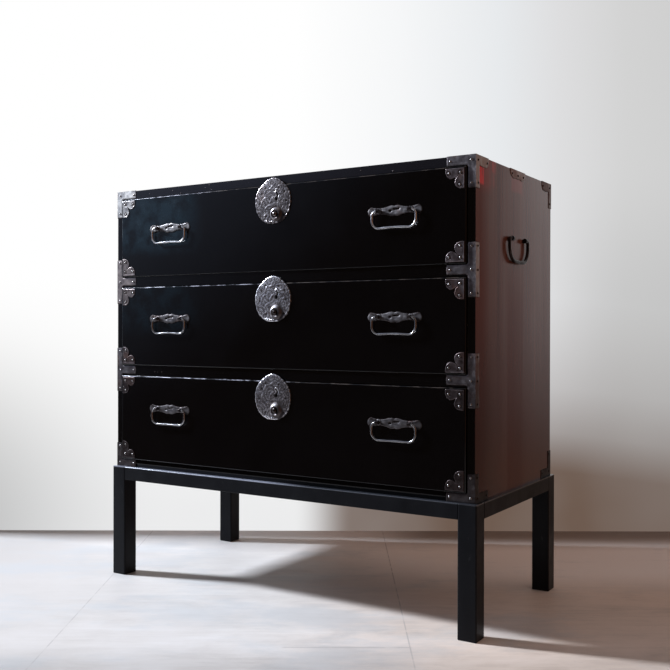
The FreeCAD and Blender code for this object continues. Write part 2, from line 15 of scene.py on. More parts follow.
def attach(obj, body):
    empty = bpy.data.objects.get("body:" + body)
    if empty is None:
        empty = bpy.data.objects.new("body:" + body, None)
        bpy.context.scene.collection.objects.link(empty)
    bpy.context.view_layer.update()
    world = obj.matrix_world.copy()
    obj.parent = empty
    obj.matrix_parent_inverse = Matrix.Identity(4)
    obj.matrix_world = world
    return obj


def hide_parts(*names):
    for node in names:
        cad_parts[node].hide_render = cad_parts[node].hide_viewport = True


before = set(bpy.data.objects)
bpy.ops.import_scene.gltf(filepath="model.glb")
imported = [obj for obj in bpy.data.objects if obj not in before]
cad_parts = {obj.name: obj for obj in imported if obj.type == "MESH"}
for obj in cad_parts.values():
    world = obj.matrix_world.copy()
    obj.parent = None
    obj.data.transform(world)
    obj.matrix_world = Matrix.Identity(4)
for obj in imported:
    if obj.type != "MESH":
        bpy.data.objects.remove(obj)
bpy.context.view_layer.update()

FRONT_Y = 204.5           # drawn y of the frame's origin
HALF = 450.0
CASE_BACK = 412.0
CASE_TOP = 887.0
STAND_TOP = 250.0
OPEN_TOP = [868.0, 665.0, 462.0]
OPEN_LOW = [688.0, 485.0, 268.0]
FACE = -3.0               # drawer faces
GAP_TOP, GAP_LOW = 1.5, 0.5   # a drawer front's gaps in its opening
PLATE = 1.0               # thickness of the iron plates
RAIL_Z = [(665.0, 688.0), (462.0, 485.0)]


def mm(x, y, z):
    return Vector((x, y - FRONT_Y, z)) / 1000.0


def new_object(name, data):
    obj = bpy.data.objects.new(name, data)
    bpy.context.scene.collection.objects.link(obj)
    return obj


# ---------------------------------------------------------------- materials

def put(tree, socket, value):
    """Link a socket to another, or set its value."""
    if isinstance(value, bpy.types.NodeSocket):
        tree.links.new(value, socket)
    elif isinstance(value, tuple) and len(value) == 3 and socket.type == "RGBA":
        socket.default_value = value + (1.0,)
    else:
        socket.default_value = value


def add_node(tree, kind, inputs=None, **props):
    node = tree.nodes.new(kind)
    for key, value in props.items():
        setattr(node, key, value)
    for key, value in (inputs or {}).items():
        put(tree, node.inputs[key], value)
    return node


class Look:
    """A Principled material, with short ways to wire procedural nodes into it."""

    def __init__(self, name, **sockets):
        self.mat = bpy.data.materials.new(name)
        self.mat.use_nodes = True
        self.tree = self.mat.node_tree
        self.bsdf = self.tree.nodes["Principled BSDF"]
        for key, value in sockets.items():
            self.bsdf.inputs[key.replace("_", " ")].default_value = value
        self.pos = self.add("ShaderNodeTexCoord").outputs["Object"]
        xyz = self.add("ShaderNodeSeparateXYZ", {0: self.pos})
        self.x, self.y, self.z = xyz.outputs

    def put(self, socket, value):
        put(self.tree, socket, value)

    def add(self, kind, inputs=None, **props):
        return add_node(self.tree, kind, inputs, **props)

    def calc(self, op, a, b=0.0):
        return self.add("ShaderNodeMath", {0: a, 1: b}, operation=op).outputs[0]

    def chain(self, op, parts):
        total = parts[0]
        for part in parts[1:]:
            total = self.calc(op, total, part)
        return total

    def times(self, *parts):
        return self.chain("MULTIPLY", parts)

    def plus(self, *parts):
        return self.chain("ADD", parts)

    def most(self, *parts):
        return self.chain("MAXIMUM", parts)

    def span(self, value, low, high, to_low=0.0, to_high=1.0):
        """Smooth step from to_low at low to to_high at high."""
        node = self.add("ShaderNodeMapRange", {0: value, 1: low, 2: high, 3: to_low, 4: to_high},
                        interpolation_type="SMOOTHSTEP")
        return node.outputs[0]

    def window(self, value, low, high, soft):
        """1 between low and high, falling to 0 over soft outside them."""
        rise = self.span(value, low - soft, low)
        return self.times(rise, self.span(value, high, high + soft, 1.0, 0.0))

    def noise(self, scale, stretch=(1.0, 1.0, 1.0), detail=3.0, rough=0.55, offset=0.0, warp=0.0):
        shift = (offset, offset * 1.7, offset * 0.6)
        at = self.add("ShaderNodeMapping", {"Vector": self.pos, "Location": shift, "Scale": stretch})
        inputs = {"Vector": at.outputs[0], "Scale": scale, "Detail": detail, "Roughness": rough,
                  "Distortion": warp}
        return self.add("ShaderNodeTexNoise", inputs).outputs["Fac"]

    def ramp(self, value, stops):
        node = self.add("ShaderNodeValToRGB", {0: value})
        points = node.color_ramp.elements
        while len(points) < len(stops):
            points.new(0.5)
        for point, (at, colour) in zip(points, stops):
            point.position = at
            grey = isinstance(colour, float)
            point.color = ((colour,) * 3 if grey else tuple(colour)) + (1.0,)
        return node.outputs[0]

    def mix(self, factor, a, b, blend="MIX"):
        inputs = {0: factor, 6: a, 7: b}
        return self.add("ShaderNodeMix", inputs, data_type="RGBA", blend_type=blend).outputs[2]

    def blend(self, factor, a, b):
        return self.add("ShaderNodeMix", {0: factor, 2: a, 3: b}, data_type="FLOAT").outputs[0]

    def colour(self, value):
        self.put(self.bsdf.inputs["Base Color"], value)

    def roughness(self, value):
        self.put(self.bsdf.inputs["Roughness"], value)

    def bump(self, layers):
        """Layers of (height, metres), the coarsest first."""
        normal = None
        for height, distance in layers:
            inputs = {"Height": height, "Distance": distance, "Strength": 1.0}
            if normal is not None:
                inputs["Normal"] = normal
            normal = self.add("ShaderNodeBump", inputs).outputs[0]
        self.put(self.bsdf.inputs["Normal"], normal)
        return self.mat


def black_parts(k, seed=0.0):
    """Polished black urushi: near black under a clouded gloss. Returns colour, roughness and bump layers."""
    cloud = k.noise(7.0, offset=seed, detail=4.0)
    base = k.ramp(cloud, [(0.3, (0.0008, 0.0008, 0.0011)), (0.7, (0.0018, 0.0017, 0.0020))])
    dust = k.span(k.noise(900.0, offset=seed, detail=1.0), 0.71, 0.79, 0.0, 0.35)
    rough = k.span(k.noise(16.0, offset=seed + 3.0, detail=5.0), 0.3, 0.75, 0.045, 0.115)
    waves = [(k.noise(9.0, offset=seed + 1.0, detail=1.0), 0.00016),
             (k.noise(55.0, (1.0, 1.0, 0.5), offset=seed + 2.0, detail=2.0), 0.000018)]
    return k.mix(dust, base, (0.04, 0.036, 0.033)), rough, waves


def red_parts(k):
    """Thin red-brown lacquer over vertical grain, bare red where the right side's upper edges are rubbed, and
    painted shade towards the bottom.
    """
    low = k.span(k.z, 0.26, 0.68, 1.0, 0.0)
    front = k.span(k.y, -0.182, -0.120, 1.0, 0.0)
    band = k.times(k.window(k.y, -0.044, 0.036, 0.006), k.span(k.z, 0.60, 0.74, 1.0, 0.25))
    streak = k.noise(1.0, (9.0, 210.0, 0.9), detail=4.0, rough=0.7)
    bands = k.noise(1.0, (2.0, 42.0, 0.35), offset=12.0, detail=2.0, rough=0.5)
    grain = k.plus(k.times(bands, 0.5), k.times(streak, 0.5))
    base = k.ramp(grain, [(0.36, (0.085, 0.022, 0.015)), (0.47, (0.150, 0.055, 0.040)),
                          (0.55, (0.125, 0.060, 0.048)), (0.66, (0.200, 0.090, 0.070))])
    base = k.mix(k.times(band, 0.6), base, (0.115, 0.026, 0.018))
    base = k.mix(k.times(front, 0.75), base, (0.120, 0.026, 0.013))
    # darker towards the bottom and the lower front: painted shade on the side board
    base = k.mix(k.times(low, 0.80), base, (0.055, 0.010, 0.006))
    base = k.mix(k.times(low, k.span(k.y, -0.15, -0.04, 0.75, 0.0)), base, (0.026, 0.004, 0.002))
    ragged = k.span(k.noise(1.0, (40.0, 170.0, 12.0), offset=9.0, detail=4.0), 0.36, 0.50)

    def patch(z0, z1, z_soft, y0, y1, y_soft):
        return k.times(k.window(k.z, z0, z1, z_soft), k.window(k.y, y0, y1, y_soft))

    front_rub = patch(0.840, 0.866, 0.008, -0.187, -0.169, 0.006)
    halo = patch(0.846, 0.880, 0.030, -0.190, -0.145, 0.030)
    top_rub = patch(0.870, 0.890, 0.012, -0.125, -0.112, 0.007)
    thin_rub = patch(0.845, 0.870, 0.015, -0.122, -0.116, 0.004)
    mid_rub = patch(0.848, 0.868, 0.010, -0.020, 0.026, 0.014)
    strong = k.times(k.most(front_rub, k.times(top_rub, 0.45)), ragged)
    faint = k.times(k.most(halo, thin_rub, mid_rub), 0.16)
    right_face = k.span(k.x, 0.425, 0.432)
    base = k.mix(k.times(k.most(strong, faint), right_face), base, (0.72, 0.045, 0.050))
    rough = k.span(k.noise(9.0, (1.0, 3.0, 0.3), offset=2.0, detail=4.0), 0.3, 0.7, 0.17, 0.23)
    shine = k.calc("SUBTRACT", k.calc("SUBTRACT", 0.56, k.times(front, 0.34)), k.times(band, 0.24))
    waves = k.noise(5.0, (1.0, 2.0, 0.3), offset=6.0, detail=1.0)
    return base, rough, [(waves, 0.00012), (streak, 0.00002)], shine


def wood_parts(k, along, tone=1.0, seed=0.0):
    """Bare paulownia inside the case and the drawers, with its grain along one axis."""
    stretch = {"x": (1.2, 28.0, 28.0), "y": (28.0, 1.2, 28.0), "z": (28.0, 28.0, 1.2)}[along]
    rings = k.noise(2.6, stretch, offset=seed, detail=5.0, rough=0.6, warp=0.6)
    fine = k.noise(16.0, stretch, offset=seed + 2.0, detail=3.0)
    grain = k.plus(k.times(rings, 0.7), k.times(fine, 0.3))
    tones = [(0.32, (0.24, 0.145, 0.075)), (0.50, (0.42, 0.28, 0.16)), (0.68, (0.55, 0.40, 0.25))]
    base = k.ramp(grain, [(at, tuple(c * tone for c in colour)) for at, colour in tones])
    stain = k.span(k.noise(5.0, offset=seed + 5.0, detail=4.0), 0.50, 0.72, 0.0, 0.35)
    base = k.mix(stain, base, (0.16 * tone, 0.095 * tone, 0.055 * tone))
    return base, k.span(fine, 0.3, 0.7, 0.52, 0.74), [(grain, 0.00018)]


def plain_wood(name, along, tone=1.0, seed=0.0):
    k = Look(name, IOR=1.45)
    base, rough, bumps = wood_parts(k, along, tone, seed)
    k.colour(base)
    k.roughness(rough)
    return k.bump(bumps)


def lacquered(name, along, bare, red=None, wear_and_highlight=None, haze_glow=None, dusty_z=None, gloss=0.5, seed=0.0):
    """Lacquer outside and bare wood inside one board: bare(k) gives where it is bare, red(k) where it is red.

    wear_and_highlight is the height of a rubbed arris and the x where the painted highlight on it ends;
    haze_glow is the height and the strength of a rougher cloud at the left end, tinted bluish as a painted
    reflection, with a painted highlight along that end; and the black is dusty above dusty_z.
    """
    k = Look(name, IOR=1.5, Specular_IOR_Level=gloss)
    base, rough, bumps = black_parts(k, seed)
    if dusty_z is not None:
        base = k.mix(k.span(k.z, dusty_z, dusty_z + 0.002), base, (0.012, 0.012, 0.0155))
    if red:
        where = red(k)
        red_base, red_rough, red_bumps, shine = red_parts(k)
        k.put(k.bsdf.inputs["Specular IOR Level"], k.blend(where, 0.5, shine))
        base, rough, bumps = k.mix(where, base, red_base), k.blend(where, rough, red_rough), red_bumps
    if haze_glow:
        glow_z, strength = haze_glow
        # a rougher clouded patch at the left end, its bluish tint a painted reflection of the window
        spot = k.times(k.window(k.x, -0.440, -0.270, 0.090),
                       k.window(k.z, glow_z - 0.04, glow_z + 0.04, 0.045))
        cloud = k.span(k.noise(24.0, offset=seed + 8.0, detail=5.0), 0.36, 0.64, 0.15, 1.0)
        misted_glow = k.times(spot, strength, cloud)
        base = k.mix(misted_glow, base, (0.008, 0.019, 0.027))
        rough = k.plus(rough, k.times(misted_glow, 0.10))
        # a thin pale line along the front's left end: a painted highlight
        end = k.times(k.window(k.x, -0.4330, -0.4306, 0.0004), k.span(k.noise(45.0, offset=3.0), 0.38, 0.60))
        base = k.mix(k.times(end, 0.60 * strength), base, (0.16, 0.18, 0.19))
    if wear_and_highlight:
        wear_z, highlight_end = wear_and_highlight
        # the worn top arris: bluish-white towards the left as a painted highlight, brown further right
        edge = k.window(k.z, wear_z - 0.0014, wear_z + 0.001, 0.0004)
        worn = k.times(edge, k.span(k.noise(60.0, (1.0, 1.0, 4.0), offset=seed + 5.0), 0.40, 0.62))
        past_highlight = k.span(k.x, highlight_end - 0.05, highlight_end + 0.06)
        base = k.mix(worn, base, k.mix(past_highlight, (0.40, 0.40, 0.47), (0.060, 0.046, 0.038)))
        rough = k.plus(rough, k.times(worn, 0.18))
    wood_base, wood_rough, _ = wood_parts(k, along, 0.95, seed)
    inner = bare(k)
    k.colour(k.mix(inner, base, wood_base))
    k.roughness(k.blend(inner, rough, wood_rough))
    return k.bump(bumps)


def stand_black(name):
    """Satin black paint over straight-grained wood, rubbed glossy along its top arris, which has a painted
    highlight, bluish-white towards the left.
    """
    k = Look(name, IOR=1.5)
    streak = k.noise(3.0, (9.0, 9.0, 1.0), detail=4.0)
    base = k.ramp(streak, [(0.3, (0.0054, 0.0056, 0.0068)), (0.7, (0.0085, 0.0088, 0.0106))])
    scuff = k.span(k.noise(130.0, (1.0, 1.0, 0.4), offset=3.0, detail=3.0), 0.66, 0.76)
    base = k.mix(k.times(scuff, 0.4), base, (0.035, 0.035, 0.037))
    # the top arris: glossier, and painted bluish-white towards the left as a painted highlight
    rubbed = k.span(k.z, 0.2474, 0.2489)
    shine = k.mix(k.span(k.x, -0.04, 0.10), (0.22, 0.23, 0.28), (0.030, 0.033, 0.040))
    k.colour(k.mix(rubbed, base, shine))
    k.put(k.bsdf.inputs["Specular IOR Level"], k.blend(rubbed, 0.10, 1.0))
    rough = k.span(k.noise(30.0, detail=5.0, offset=1.0), 0.3, 0.7, 0.32, 0.42)
    k.roughness(k.blend(rubbed, rough, 0.24))
    return k.bump([(k.noise(40.0, (3.0, 3.0, 0.6), offset=5.0), 0.00010),
                   (k.noise(600.0, offset=7.0), 0.000015)])


def iron(name, dark, mid, light, rust, rust_part, rough, hammer=0.00012, seed=0.0, relief=False, dull=None,
         bright=None):
    """Worn metal: cloudy tone, brown patina in patches and, where relief is kept, in the hollows, and a
    painted highlight on its raised parts.

    dull(k) gives where it is darkened all over, and bright(k) where painted light makes it lighter, and in
    what tone.
    """
    k = Look(name, Metallic=1.0)
    cloud = k.noise(55.0, offset=seed, detail=6.0, rough=0.62)
    base = k.ramp(cloud, [(0.30, dark), (0.50, mid), (0.70, light)])
    spots = k.noise(30.0, offset=seed + 4.0, detail=5.0, rough=0.6)
    patch = k.span(spots, 0.72 - rust_part, 0.86 - rust_part)
    base = k.mix(k.times(patch, 0.75), base, rust)
    # painted light: a lighter tone by place on the chest
    if bright:
        amount, tone = bright(k)
        base = k.mix(amount, base, tone)
    level = k.span(k.noise(90.0, offset=seed + 6.0, detail=5.0), 0.3, 0.7, rough[0], rough[1])
    level = k.plus(level, k.times(patch, 0.10))
    if relief:
        height = k.add("ShaderNodeAttribute", attribute_name="relief").outputs["Fac"]
        hollow = tuple(0.08 * m + 0.16 * r for m, r in zip(mid, rust))
        base = k.mix(k.span(height, 0.10, 0.52, 0.94, 0.0), base, hollow)
        # raised parts painted lighter: a painted highlight
        base = k.mix(k.span(height, 0.55, 0.95, 0.0, 0.65), base, tuple(c * 1.35 for c in light))
        level = k.plus(level, k.span(height, 0.0, 0.4, 0.16, 0.0))
    if dull:
        base = k.mix(dull(k), base, (0.018, 0.012, 0.011))
    k.colour(base)
    k.roughness(level)
    return k.bump([(k.noise(140.0, offset=seed + 8.0, detail=2.0), hammer),
                   (k.noise(900.0, offset=seed + 9.0, detail=2.0), 0.00002)])


# ---------------------------------------------------------------- mesh helpers

def finish_mesh(bm, name, material, body, nodes=(), sharp=35.0, weighted=False, relief=None):
    mesh = bpy.data.meshes.new(name)
    bmesh.ops.recalc_face_normals(bm, faces=bm.faces)
    bm.to_mesh(mesh)
    bm.free()
    mesh.polygons.foreach_set("use_smooth", [True] * len(mesh.polygons))
    mesh.set_sharp_from_angle(angle=math.radians(sharp))
    if relief is not None:
        layer = mesh.attributes.new("relief", "FLOAT", "POINT")
        layer.data.foreach_set("value", relief)
    mesh.materials.append(material)
    obj = new_object(name, mesh)
    if weighted:
        mod = obj.modifiers.new("even_normals", "WEIGHTED_NORMAL")
        mod.weight = 100
        mod.keep_sharp = True
    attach(obj, body)
    if nodes:
        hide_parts(*nodes)


def add_board(bm, x0, x1, y0, y1, z0, z1, radius=1.0, segments=3, front_only=False, long_only=False):
    """A board with its arrises rounded: all of them, those of its front face, or those along x."""
    size = Matrix.Diagonal(((x1 - x0) / 1000, (y1 - y0) / 1000, (z1 - z0) / 1000, 1.0))
    place = Matrix.Translation(mm((x0 + x1) / 2, (y0 + y1) / 2, (z0 + z1) / 2))
    new = bmesh.ops.create_cube(bm, size=1.0, matrix=place @ size)["verts"]
    edges = {e for v in new for e in v.link_edges}
    front = mm(0, y0, 0).y + 1e-5
    if front_only:
        edges = [e for e in edges if all(v.co.y < front for v in e.verts)]
    if long_only:
        edges = [e for e in edges if abs(e.verts[0].co.x - e.verts[1].co.x) > 1e-4]
    if radius > 0:
        bmesh.ops.bevel(bm, geom=list(edges), offset=radius / 1000, segments=segments, profile=0.5,
                        affect="EDGES", clamp_overlap=True)


def arc_outline(outline, step):
    """Points about step apart along an outline of (u, v, bulge to the next point)."""
    points = []
    for (u0, v0, b), (u1, v1, _) in zip(outline, outline[1:] + outline[:1]):
        p, q = np.array((u0, v0)), np.array((u1, v1))
        chord = q - p
        span = np.hypot(*chord)
        count = max(1, round(span / step))
        if abs(b) < 1e-6:
            points += [p + chord * i / count for i in range(count)]
            continue
        normal = np.array((chord[1], -chord[0])) / span
        radius = (span * span / 4 + b * b) / (2 * abs(b))
        centre = (p + q) / 2 + normal * (b - math.copysign(radius, b))
        a0 = math.atan2(*(p - centre)[::-1])
        a1 = math.atan2(*(q - centre)[::-1])
        turn = (a1 - a0 + math.pi) % (2 * math.pi) - math.pi
        for i in range(count):
            a = a0 + turn * i / count
            points.append(centre + radius * np.array((math.cos(a), math.sin(a))))
    return np.array(points)


def inside(points, loop):
    """Which points lie inside a closed loop."""
    x, y = points[:, 0][:, None], points[:, 1][:, None]
    x0, y0 = loop[:, 0], loop[:, 1]
    x1, y1 = np.roll(x0, -1), np.roll(y0, -1)
    crosses = (y0 > y) != (y1 > y)
    with np.errstate(divide="ignore", invalid="ignore"):
        at = x0 + (y - y0) * (x1 - x0) / (y1 - y0)
    return (np.sum(crosses & (x < at), axis=1) % 2) == 1


def to_lines(points, a, b):
    """Distance from each point to the nearest of the segments a to b."""
    ab = b - a
    length2 = np.maximum((ab ** 2).sum(1), 1e-12)
    t = np.clip(((points[:, None] - a) * ab).sum(2) / length2, 0, 1)
    return np.sqrt((((a + t[..., None] * ab) - points[:, None]) ** 2).sum(2)).min(1)


WALL_LEVEL = 0.3          # relief value of a plate's edge walls


def add_relief(bm, levels, outline, place, height, step, holes=(), rings=(), folds=()):
    """A thin plate: edge walls from w = 0 up to height(u, v, edge distance), which returns (w, relief 0..1).

    levels gets each vertex's relief. holes are loops cut through it, rings are loops that the mesh follows,
    folds are outline edges (a, b) where the plate carries on round a corner, so they count as no edge.
    """
    loops = [outline, *holes]
    lines = [*loops, *rings]
    low, high = outline.min(0), outline.max(0)
    us = np.arange(low[0] + step / 2, high[0], step)
    vs = np.arange(low[1] + step / 2, high[1], step * 0.87)
    grid = np.array([(u + (step / 2 if j % 2 else 0.0), v) for j, v in enumerate(vs) for u in us])
    starts = np.concatenate(lines)
    ends = np.concatenate([np.roll(line, -1, axis=0) for line in lines])
    keep = inside(grid, outline) & (to_lines(grid, starts, ends) > step * 0.45)
    for hole in holes:
        keep &= ~inside(grid, hole)
    points = np.concatenate([starts, grid[keep]])
    edges, at = [], 0
    for line in lines:
        n = len(line)
        edges += [(at + i, at + (i + 1) % n) for i in range(n)]
        at += n
    verts, _, faces = delaunay_2d_cdt([Vector(p) for p in points], edges, [], 1, 1e-5, False)[:3]
    flat = np.array([tuple(v) for v in verts])
    mids = np.array([flat[list(f)].mean(0) for f in faces])
    good = inside(mids, outline)
    for hole in holes:
        good &= ~inside(mids, hole)
    free_a = np.concatenate(loops)
    free_b = np.concatenate([np.roll(loop, -1, axis=0) for loop in loops])
    middle = (free_a + free_b) / 2
    lone = np.ones(len(free_a), bool)
    for fold in folds:
        a, b = np.array(fold, float)
        lone &= to_lines(middle, a[None], b[None]) > 0.05
    w, value = height(flat[:, 0], flat[:, 1], to_lines(flat, free_a[lone], free_b[lone]))
    new = [bm.verts.new(place(u, v, t)) for (u, v), t in zip(flat, w)]
    levels += list(value)
    made = [bm.faces.new([new[i] for i in f]) for f, ok in zip(faces, good) if ok]
    rim = [e for f in made for e in f.edges if len(e.link_faces) == 1]
    index = {v: i for i, v in enumerate(new)}
    foot = {}
    for v in [v for e in rim for v in e.verts]:
        if v not in foot:
            foot[v] = bm.verts.new(place(*flat[index[v]], 0.0))
            levels.append(WALL_LEVEL)
    for e in rim:
        a, b = e.verts
        bm.faces.new([a, b, foot[b], foot[a]])
    loose = {v for v in new if not v.link_faces}
    levels[:] = [level for v, level in zip(bm.verts, levels) if v not in loose]
    bmesh.ops.delete(bm, geom=list(loose), context="VERTS")


def front_place(x, z, y, su=1.0, sv=1.0):
    return lambda u, v, w: mm(x + su * u, y - w, z + sv * v)


def side_place(side):
    """Outline plane on the case's side: u along y, v along z, thickness outwards."""
    return lambda u, v, w: mm(side * (HALF - PLATE + w), u, v)


def back_place(side):
    return lambda u, v, w: mm(side * u, CASE_BACK - PLATE + w, v)


def top_place(side):
    return lambda u, v, w: mm(side * u, v, CASE_TOP - PLATE + w)


def circle(u, v, r, n):
    angles = [2 * math.pi * i / n for i in range(n)]
    return np.array([(u + r * math.cos(a), v + r * math.sin(a)) for a in angles])


def ease(d, low, high):
    t = np.clip((d - low) / (high - low), 0, 1)
    return t * t * (3 - 2 * t)


def tube(bm, points, radii, sides=16):
    """A round bar along points, with one radius for each and both ends closed."""
    points = [Vector(p) for p in points]
    rings, normal = [], None
    for i, p in enumerate(points):
        way = (points[min(i + 1, len(points) - 1)] - points[max(i - 1, 0)]).normalized()
        if normal is None:
            normal = way.orthogonal().normalized()
        normal = (normal - way * normal.dot(way)).normalized()
        other = way.cross(normal)
        rings.append([bm.verts.new(p + (normal * math.cos(a) + other * math.sin(a)) * radii[i])
                      for a in (2 * math.pi * k / sides for k in range(sides))])
    for a, b in zip(rings, rings[1:]):
        for k in range(sides):
            bm.faces.new([a[k], a[(k + 1) % sides], b[(k + 1) % sides], b[k]])
    bm.faces.new(rings[0])
    bm.faces.new(rings[-1][::-1])


def rounded_path(stations, step=1.2):
    """Points along (point, corner radius) stations, in millimetres."""
    out, last = [], Vector(stations[0][0])
    for (p, r), (q, _) in zip(stations[1:], stations[2:]):
        p, q = Vector(p), Vector(q)
        a, b = (last - p).normalized(), (q - p).normalized()
        cut = r / math.tan(a.angle(b) / 2)
        s, e = p + a * cut, p + b * cut
        centre = p + (a + b).normalized() * (math.hypot(r, cut))
        n = max(1, round((s - last).length / step))
        out += [last.lerp(s, i / n) for i in range(n)]
        m = max(4, round(r * (math.pi - a.angle(b)) / step))
        sa, ea = s - centre, e - centre
        turn = sa.angle(ea)
        axis = sa.cross(ea).normalized()
        out += [centre + Matrix.Rotation(turn * i / m, 3, axis) @ sa for i in range(m)]
        last = e
    end = Vector(stations[-1][0])
    n = max(1, round((end - last).length / step))
    return out + [last.lerp(end, i / n) for i in range(n + 1)]


# ---------------------------------------------------------------- finishes

def behind(depth):
    """Bare wood further back than depth mm on the drawing's y axis."""
    at = (depth - FRONT_Y) / 1000
    return lambda k: k.span(k.y, at, at + 0.0008)


def step_at(value, edge):
    """A sharp step up at edge, in metres."""
    return lambda k: k.span(getattr(k, value), edge, edge + 0.0003)


def both(*parts):
    return lambda k: k.times(*(part(k) for part in parts))


def opposite(part):
    return lambda k: k.calc("SUBTRACT", 1.0, part(k))


def outer_side(k):
    """The outer faces of the two side boards."""
    return k.span(k.calc("ABSOLUTE", k.x), 0.4341, 0.4344)


BOARD_FACE = step_at("y", (1.0 - FRONT_Y) / 1000)  # behind the front edges of the case's boards
LACQUER_DEPTH = 15.0                               # the openings are lacquered this far in
DEEP = step_at("y", (LACQUER_DEPTH - FRONT_Y) / 1000)
UNDER_TOP, FLOOR_TOP = 0.8680, 0.2677              # metres up
HAZE_GLOWS = ((0.810, 1.0), (0.630, 0.35), None)        # height and strength of each drawer's rougher cloud, tinted as a painted reflection
HIGHLIGHT_ENDS = (-0.19, -0.03, 0.01)                 # where the painted highlight on each drawer's worn top arris ends
FRONT_LOOKS = [lacquered("drawer_%d_lacquer" % (i + 1), "x", behind(5.2),
                         wear_and_highlight=((OPEN_TOP[i] - GAP_TOP) / 1000, HIGHLIGHT_ENDS[i]), haze_glow=HAZE_GLOWS[i], seed=i * 7.0)
               for i in range(3)]
RAIL_LOOK = lacquered("rail_lacquer", "x", behind(LACQUER_DEPTH), seed=31.0)
FLOOR_LOOK = lacquered("case_floor_lacquer", "x", both(DEEP, step_at("z", FLOOR_TOP)), gloss=0.2, seed=35.0)
TOP_LOOK = lacquered("case_top_lacquer", "x", both(DEEP, opposite(step_at("z", UNDER_TOP))),
                     both(BOARD_FACE, step_at("z", UNDER_TOP)), dusty_z=0.866, seed=37.0)
SIDE_LOOK = lacquered("case_side_lacquer", "z", both(DEEP, opposite(outer_side)),
                      both(BOARD_FACE, outer_side), seed=41.0)
STAND = stand_black("stand_paint")
WOOD_X = plain_wood("wood_long", "x")
WOOD_Y = plain_wood("wood_deep", "y", 0.92, 5.0)


# Tones set by place on the chest. Those that lighten a metal are painted light, each giving how much and in
# what tone; the rest give where a metal is darkened.

def left_end(k):
    """Painted light on the plates at the left end, most of all at the top."""
    amount = k.times(k.span(k.x, -0.412, -0.380, 1.0, 0.0), k.span(k.z, 0.56, 0.66, 0.0, 0.80))
    return amount, k.mix(k.span(k.z, 0.76, 0.84), (0.33, 0.275, 0.255), (0.52, 0.50, 0.475))


# painted light on the upper handle plates at the left
def high_left(k):
    amount = k.times(k.span(k.x, -0.22, -0.20, 1.0, 0.0), k.span(k.z, 0.55, 0.80, 0.0, 0.13))
    return amount, (0.62, 0.60, 0.58)


# painted light on the side straps near the front top
def front_top(k):
    amount = k.times(k.span(k.y, -0.150, -0.130, 0.40, 0.0), k.span(k.z, 0.62, 0.66))
    return amount, (0.62, 0.575, 0.55)


# painted light on the lock plates of the two lower drawers
def lower_locks(k):
    amount = k.times(k.span(k.z, 0.50, 0.60, 0.40, 0.72), k.span(k.z, 0.72, 0.78, 1.0, 0.0))
    return amount, (0.86, 0.84, 0.88)


def lower_knobs(k):
    return k.span(k.z, 0.70, 0.76, 0.80, 0.0)


def low_or_rear(k):
    return k.most(k.span(k.z, 0.36, 0.62, 0.97, 0.0), k.span(k.y, 0.13, 0.15, 0.0, 0.50))


def low_down(k):
    return k.span(k.z, 0.38, 0.53, 0.68, 0.0)


def lower_bails(k):
    return k.span(k.z, 0.62, 0.70, 0.50, 0.0)


def off_centre(k):
    x = k.calc("ABSOLUTE", k.x)
    return k.most(k.span(x, 0.05, 0.06, 1.0, 0.0), k.span(x, 0.4497, 0.4499))


PLATE_IRON = iron("fitting_plate_iron", (0.115, 0.100, 0.104), (0.205, 0.184, 0.190), (0.32, 0.296, 0.304),
                  (0.105, 0.060, 0.046), 0.20, (0.30, 0.44), seed=1.0,
                  relief=True, dull=low_down, bright=left_end)
CORNER_IRON = iron("corner_plate_iron", (0.085, 0.063, 0.062), (0.165, 0.132, 0.133), (0.29, 0.250, 0.252),
                   (0.080, 0.038, 0.028), 0.24, (0.26, 0.40), seed=5.0,
                   relief=True, dull=low_down, bright=left_end)
SIDE_IRON = iron("side_strap_iron", (0.21, 0.135, 0.112), (0.31, 0.215, 0.190), (0.42, 0.31, 0.28),
                 (0.22, 0.10, 0.075), 0.25, (0.32, 0.44), seed=8.0,
                 relief=True, dull=low_or_rear, bright=front_top)
NAIL_IRON = iron("nail_head_iron", (0.12, 0.110, 0.106), (0.21, 0.195, 0.190), (0.33, 0.31, 0.305),
                 (0.09, 0.055, 0.043), 0.10, (0.20, 0.32), hammer=0.00003, seed=13.0, dull=off_centre)
LOCK_IRON = iron("lock_plate_iron", (0.22, 0.195, 0.195), (0.34, 0.31, 0.315), (0.47, 0.44, 0.445),
                 (0.12, 0.070, 0.058), 0.14, (0.22, 0.34), seed=17.0, relief=True, bright=lower_locks)
HANDLE_IRON = iron("handle_plate_iron", (0.055, 0.048, 0.049), (0.105, 0.096, 0.098), (0.185, 0.173, 0.176),
                   (0.10, 0.060, 0.050), 0.16, (0.36, 0.50), seed=21.0, relief=True, bright=high_left)
STEEL = iron("bail_steel", (0.42, 0.41, 0.415), (0.58, 0.57, 0.575), (0.72, 0.71, 0.715),
             (0.26, 0.21, 0.19), 0.0, (0.16, 0.28), hammer=0.00002, seed=25.0, dull=lower_bails)
KNOB_IRON = iron("knob_iron", (0.10, 0.080, 0.075), (0.16, 0.135, 0.13), (0.26, 0.23, 0.225),
                 (0.09, 0.05, 0.04), 0.14, (0.14, 0.24), hammer=0.00003, seed=27.0, dull=lower_knobs)
DARK_IRON = iron("dark_iron", (0.012, 0.008, 0.008), (0.026, 0.020, 0.019), (0.055, 0.044, 0.041),
                 (0.03, 0.014, 0.011), 0.18, (0.24, 0.38), hammer=0.00004, seed=29.0)


def dress(material, *nodes):
    for node in nodes:
        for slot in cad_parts[node].material_slots:
            slot.material = material


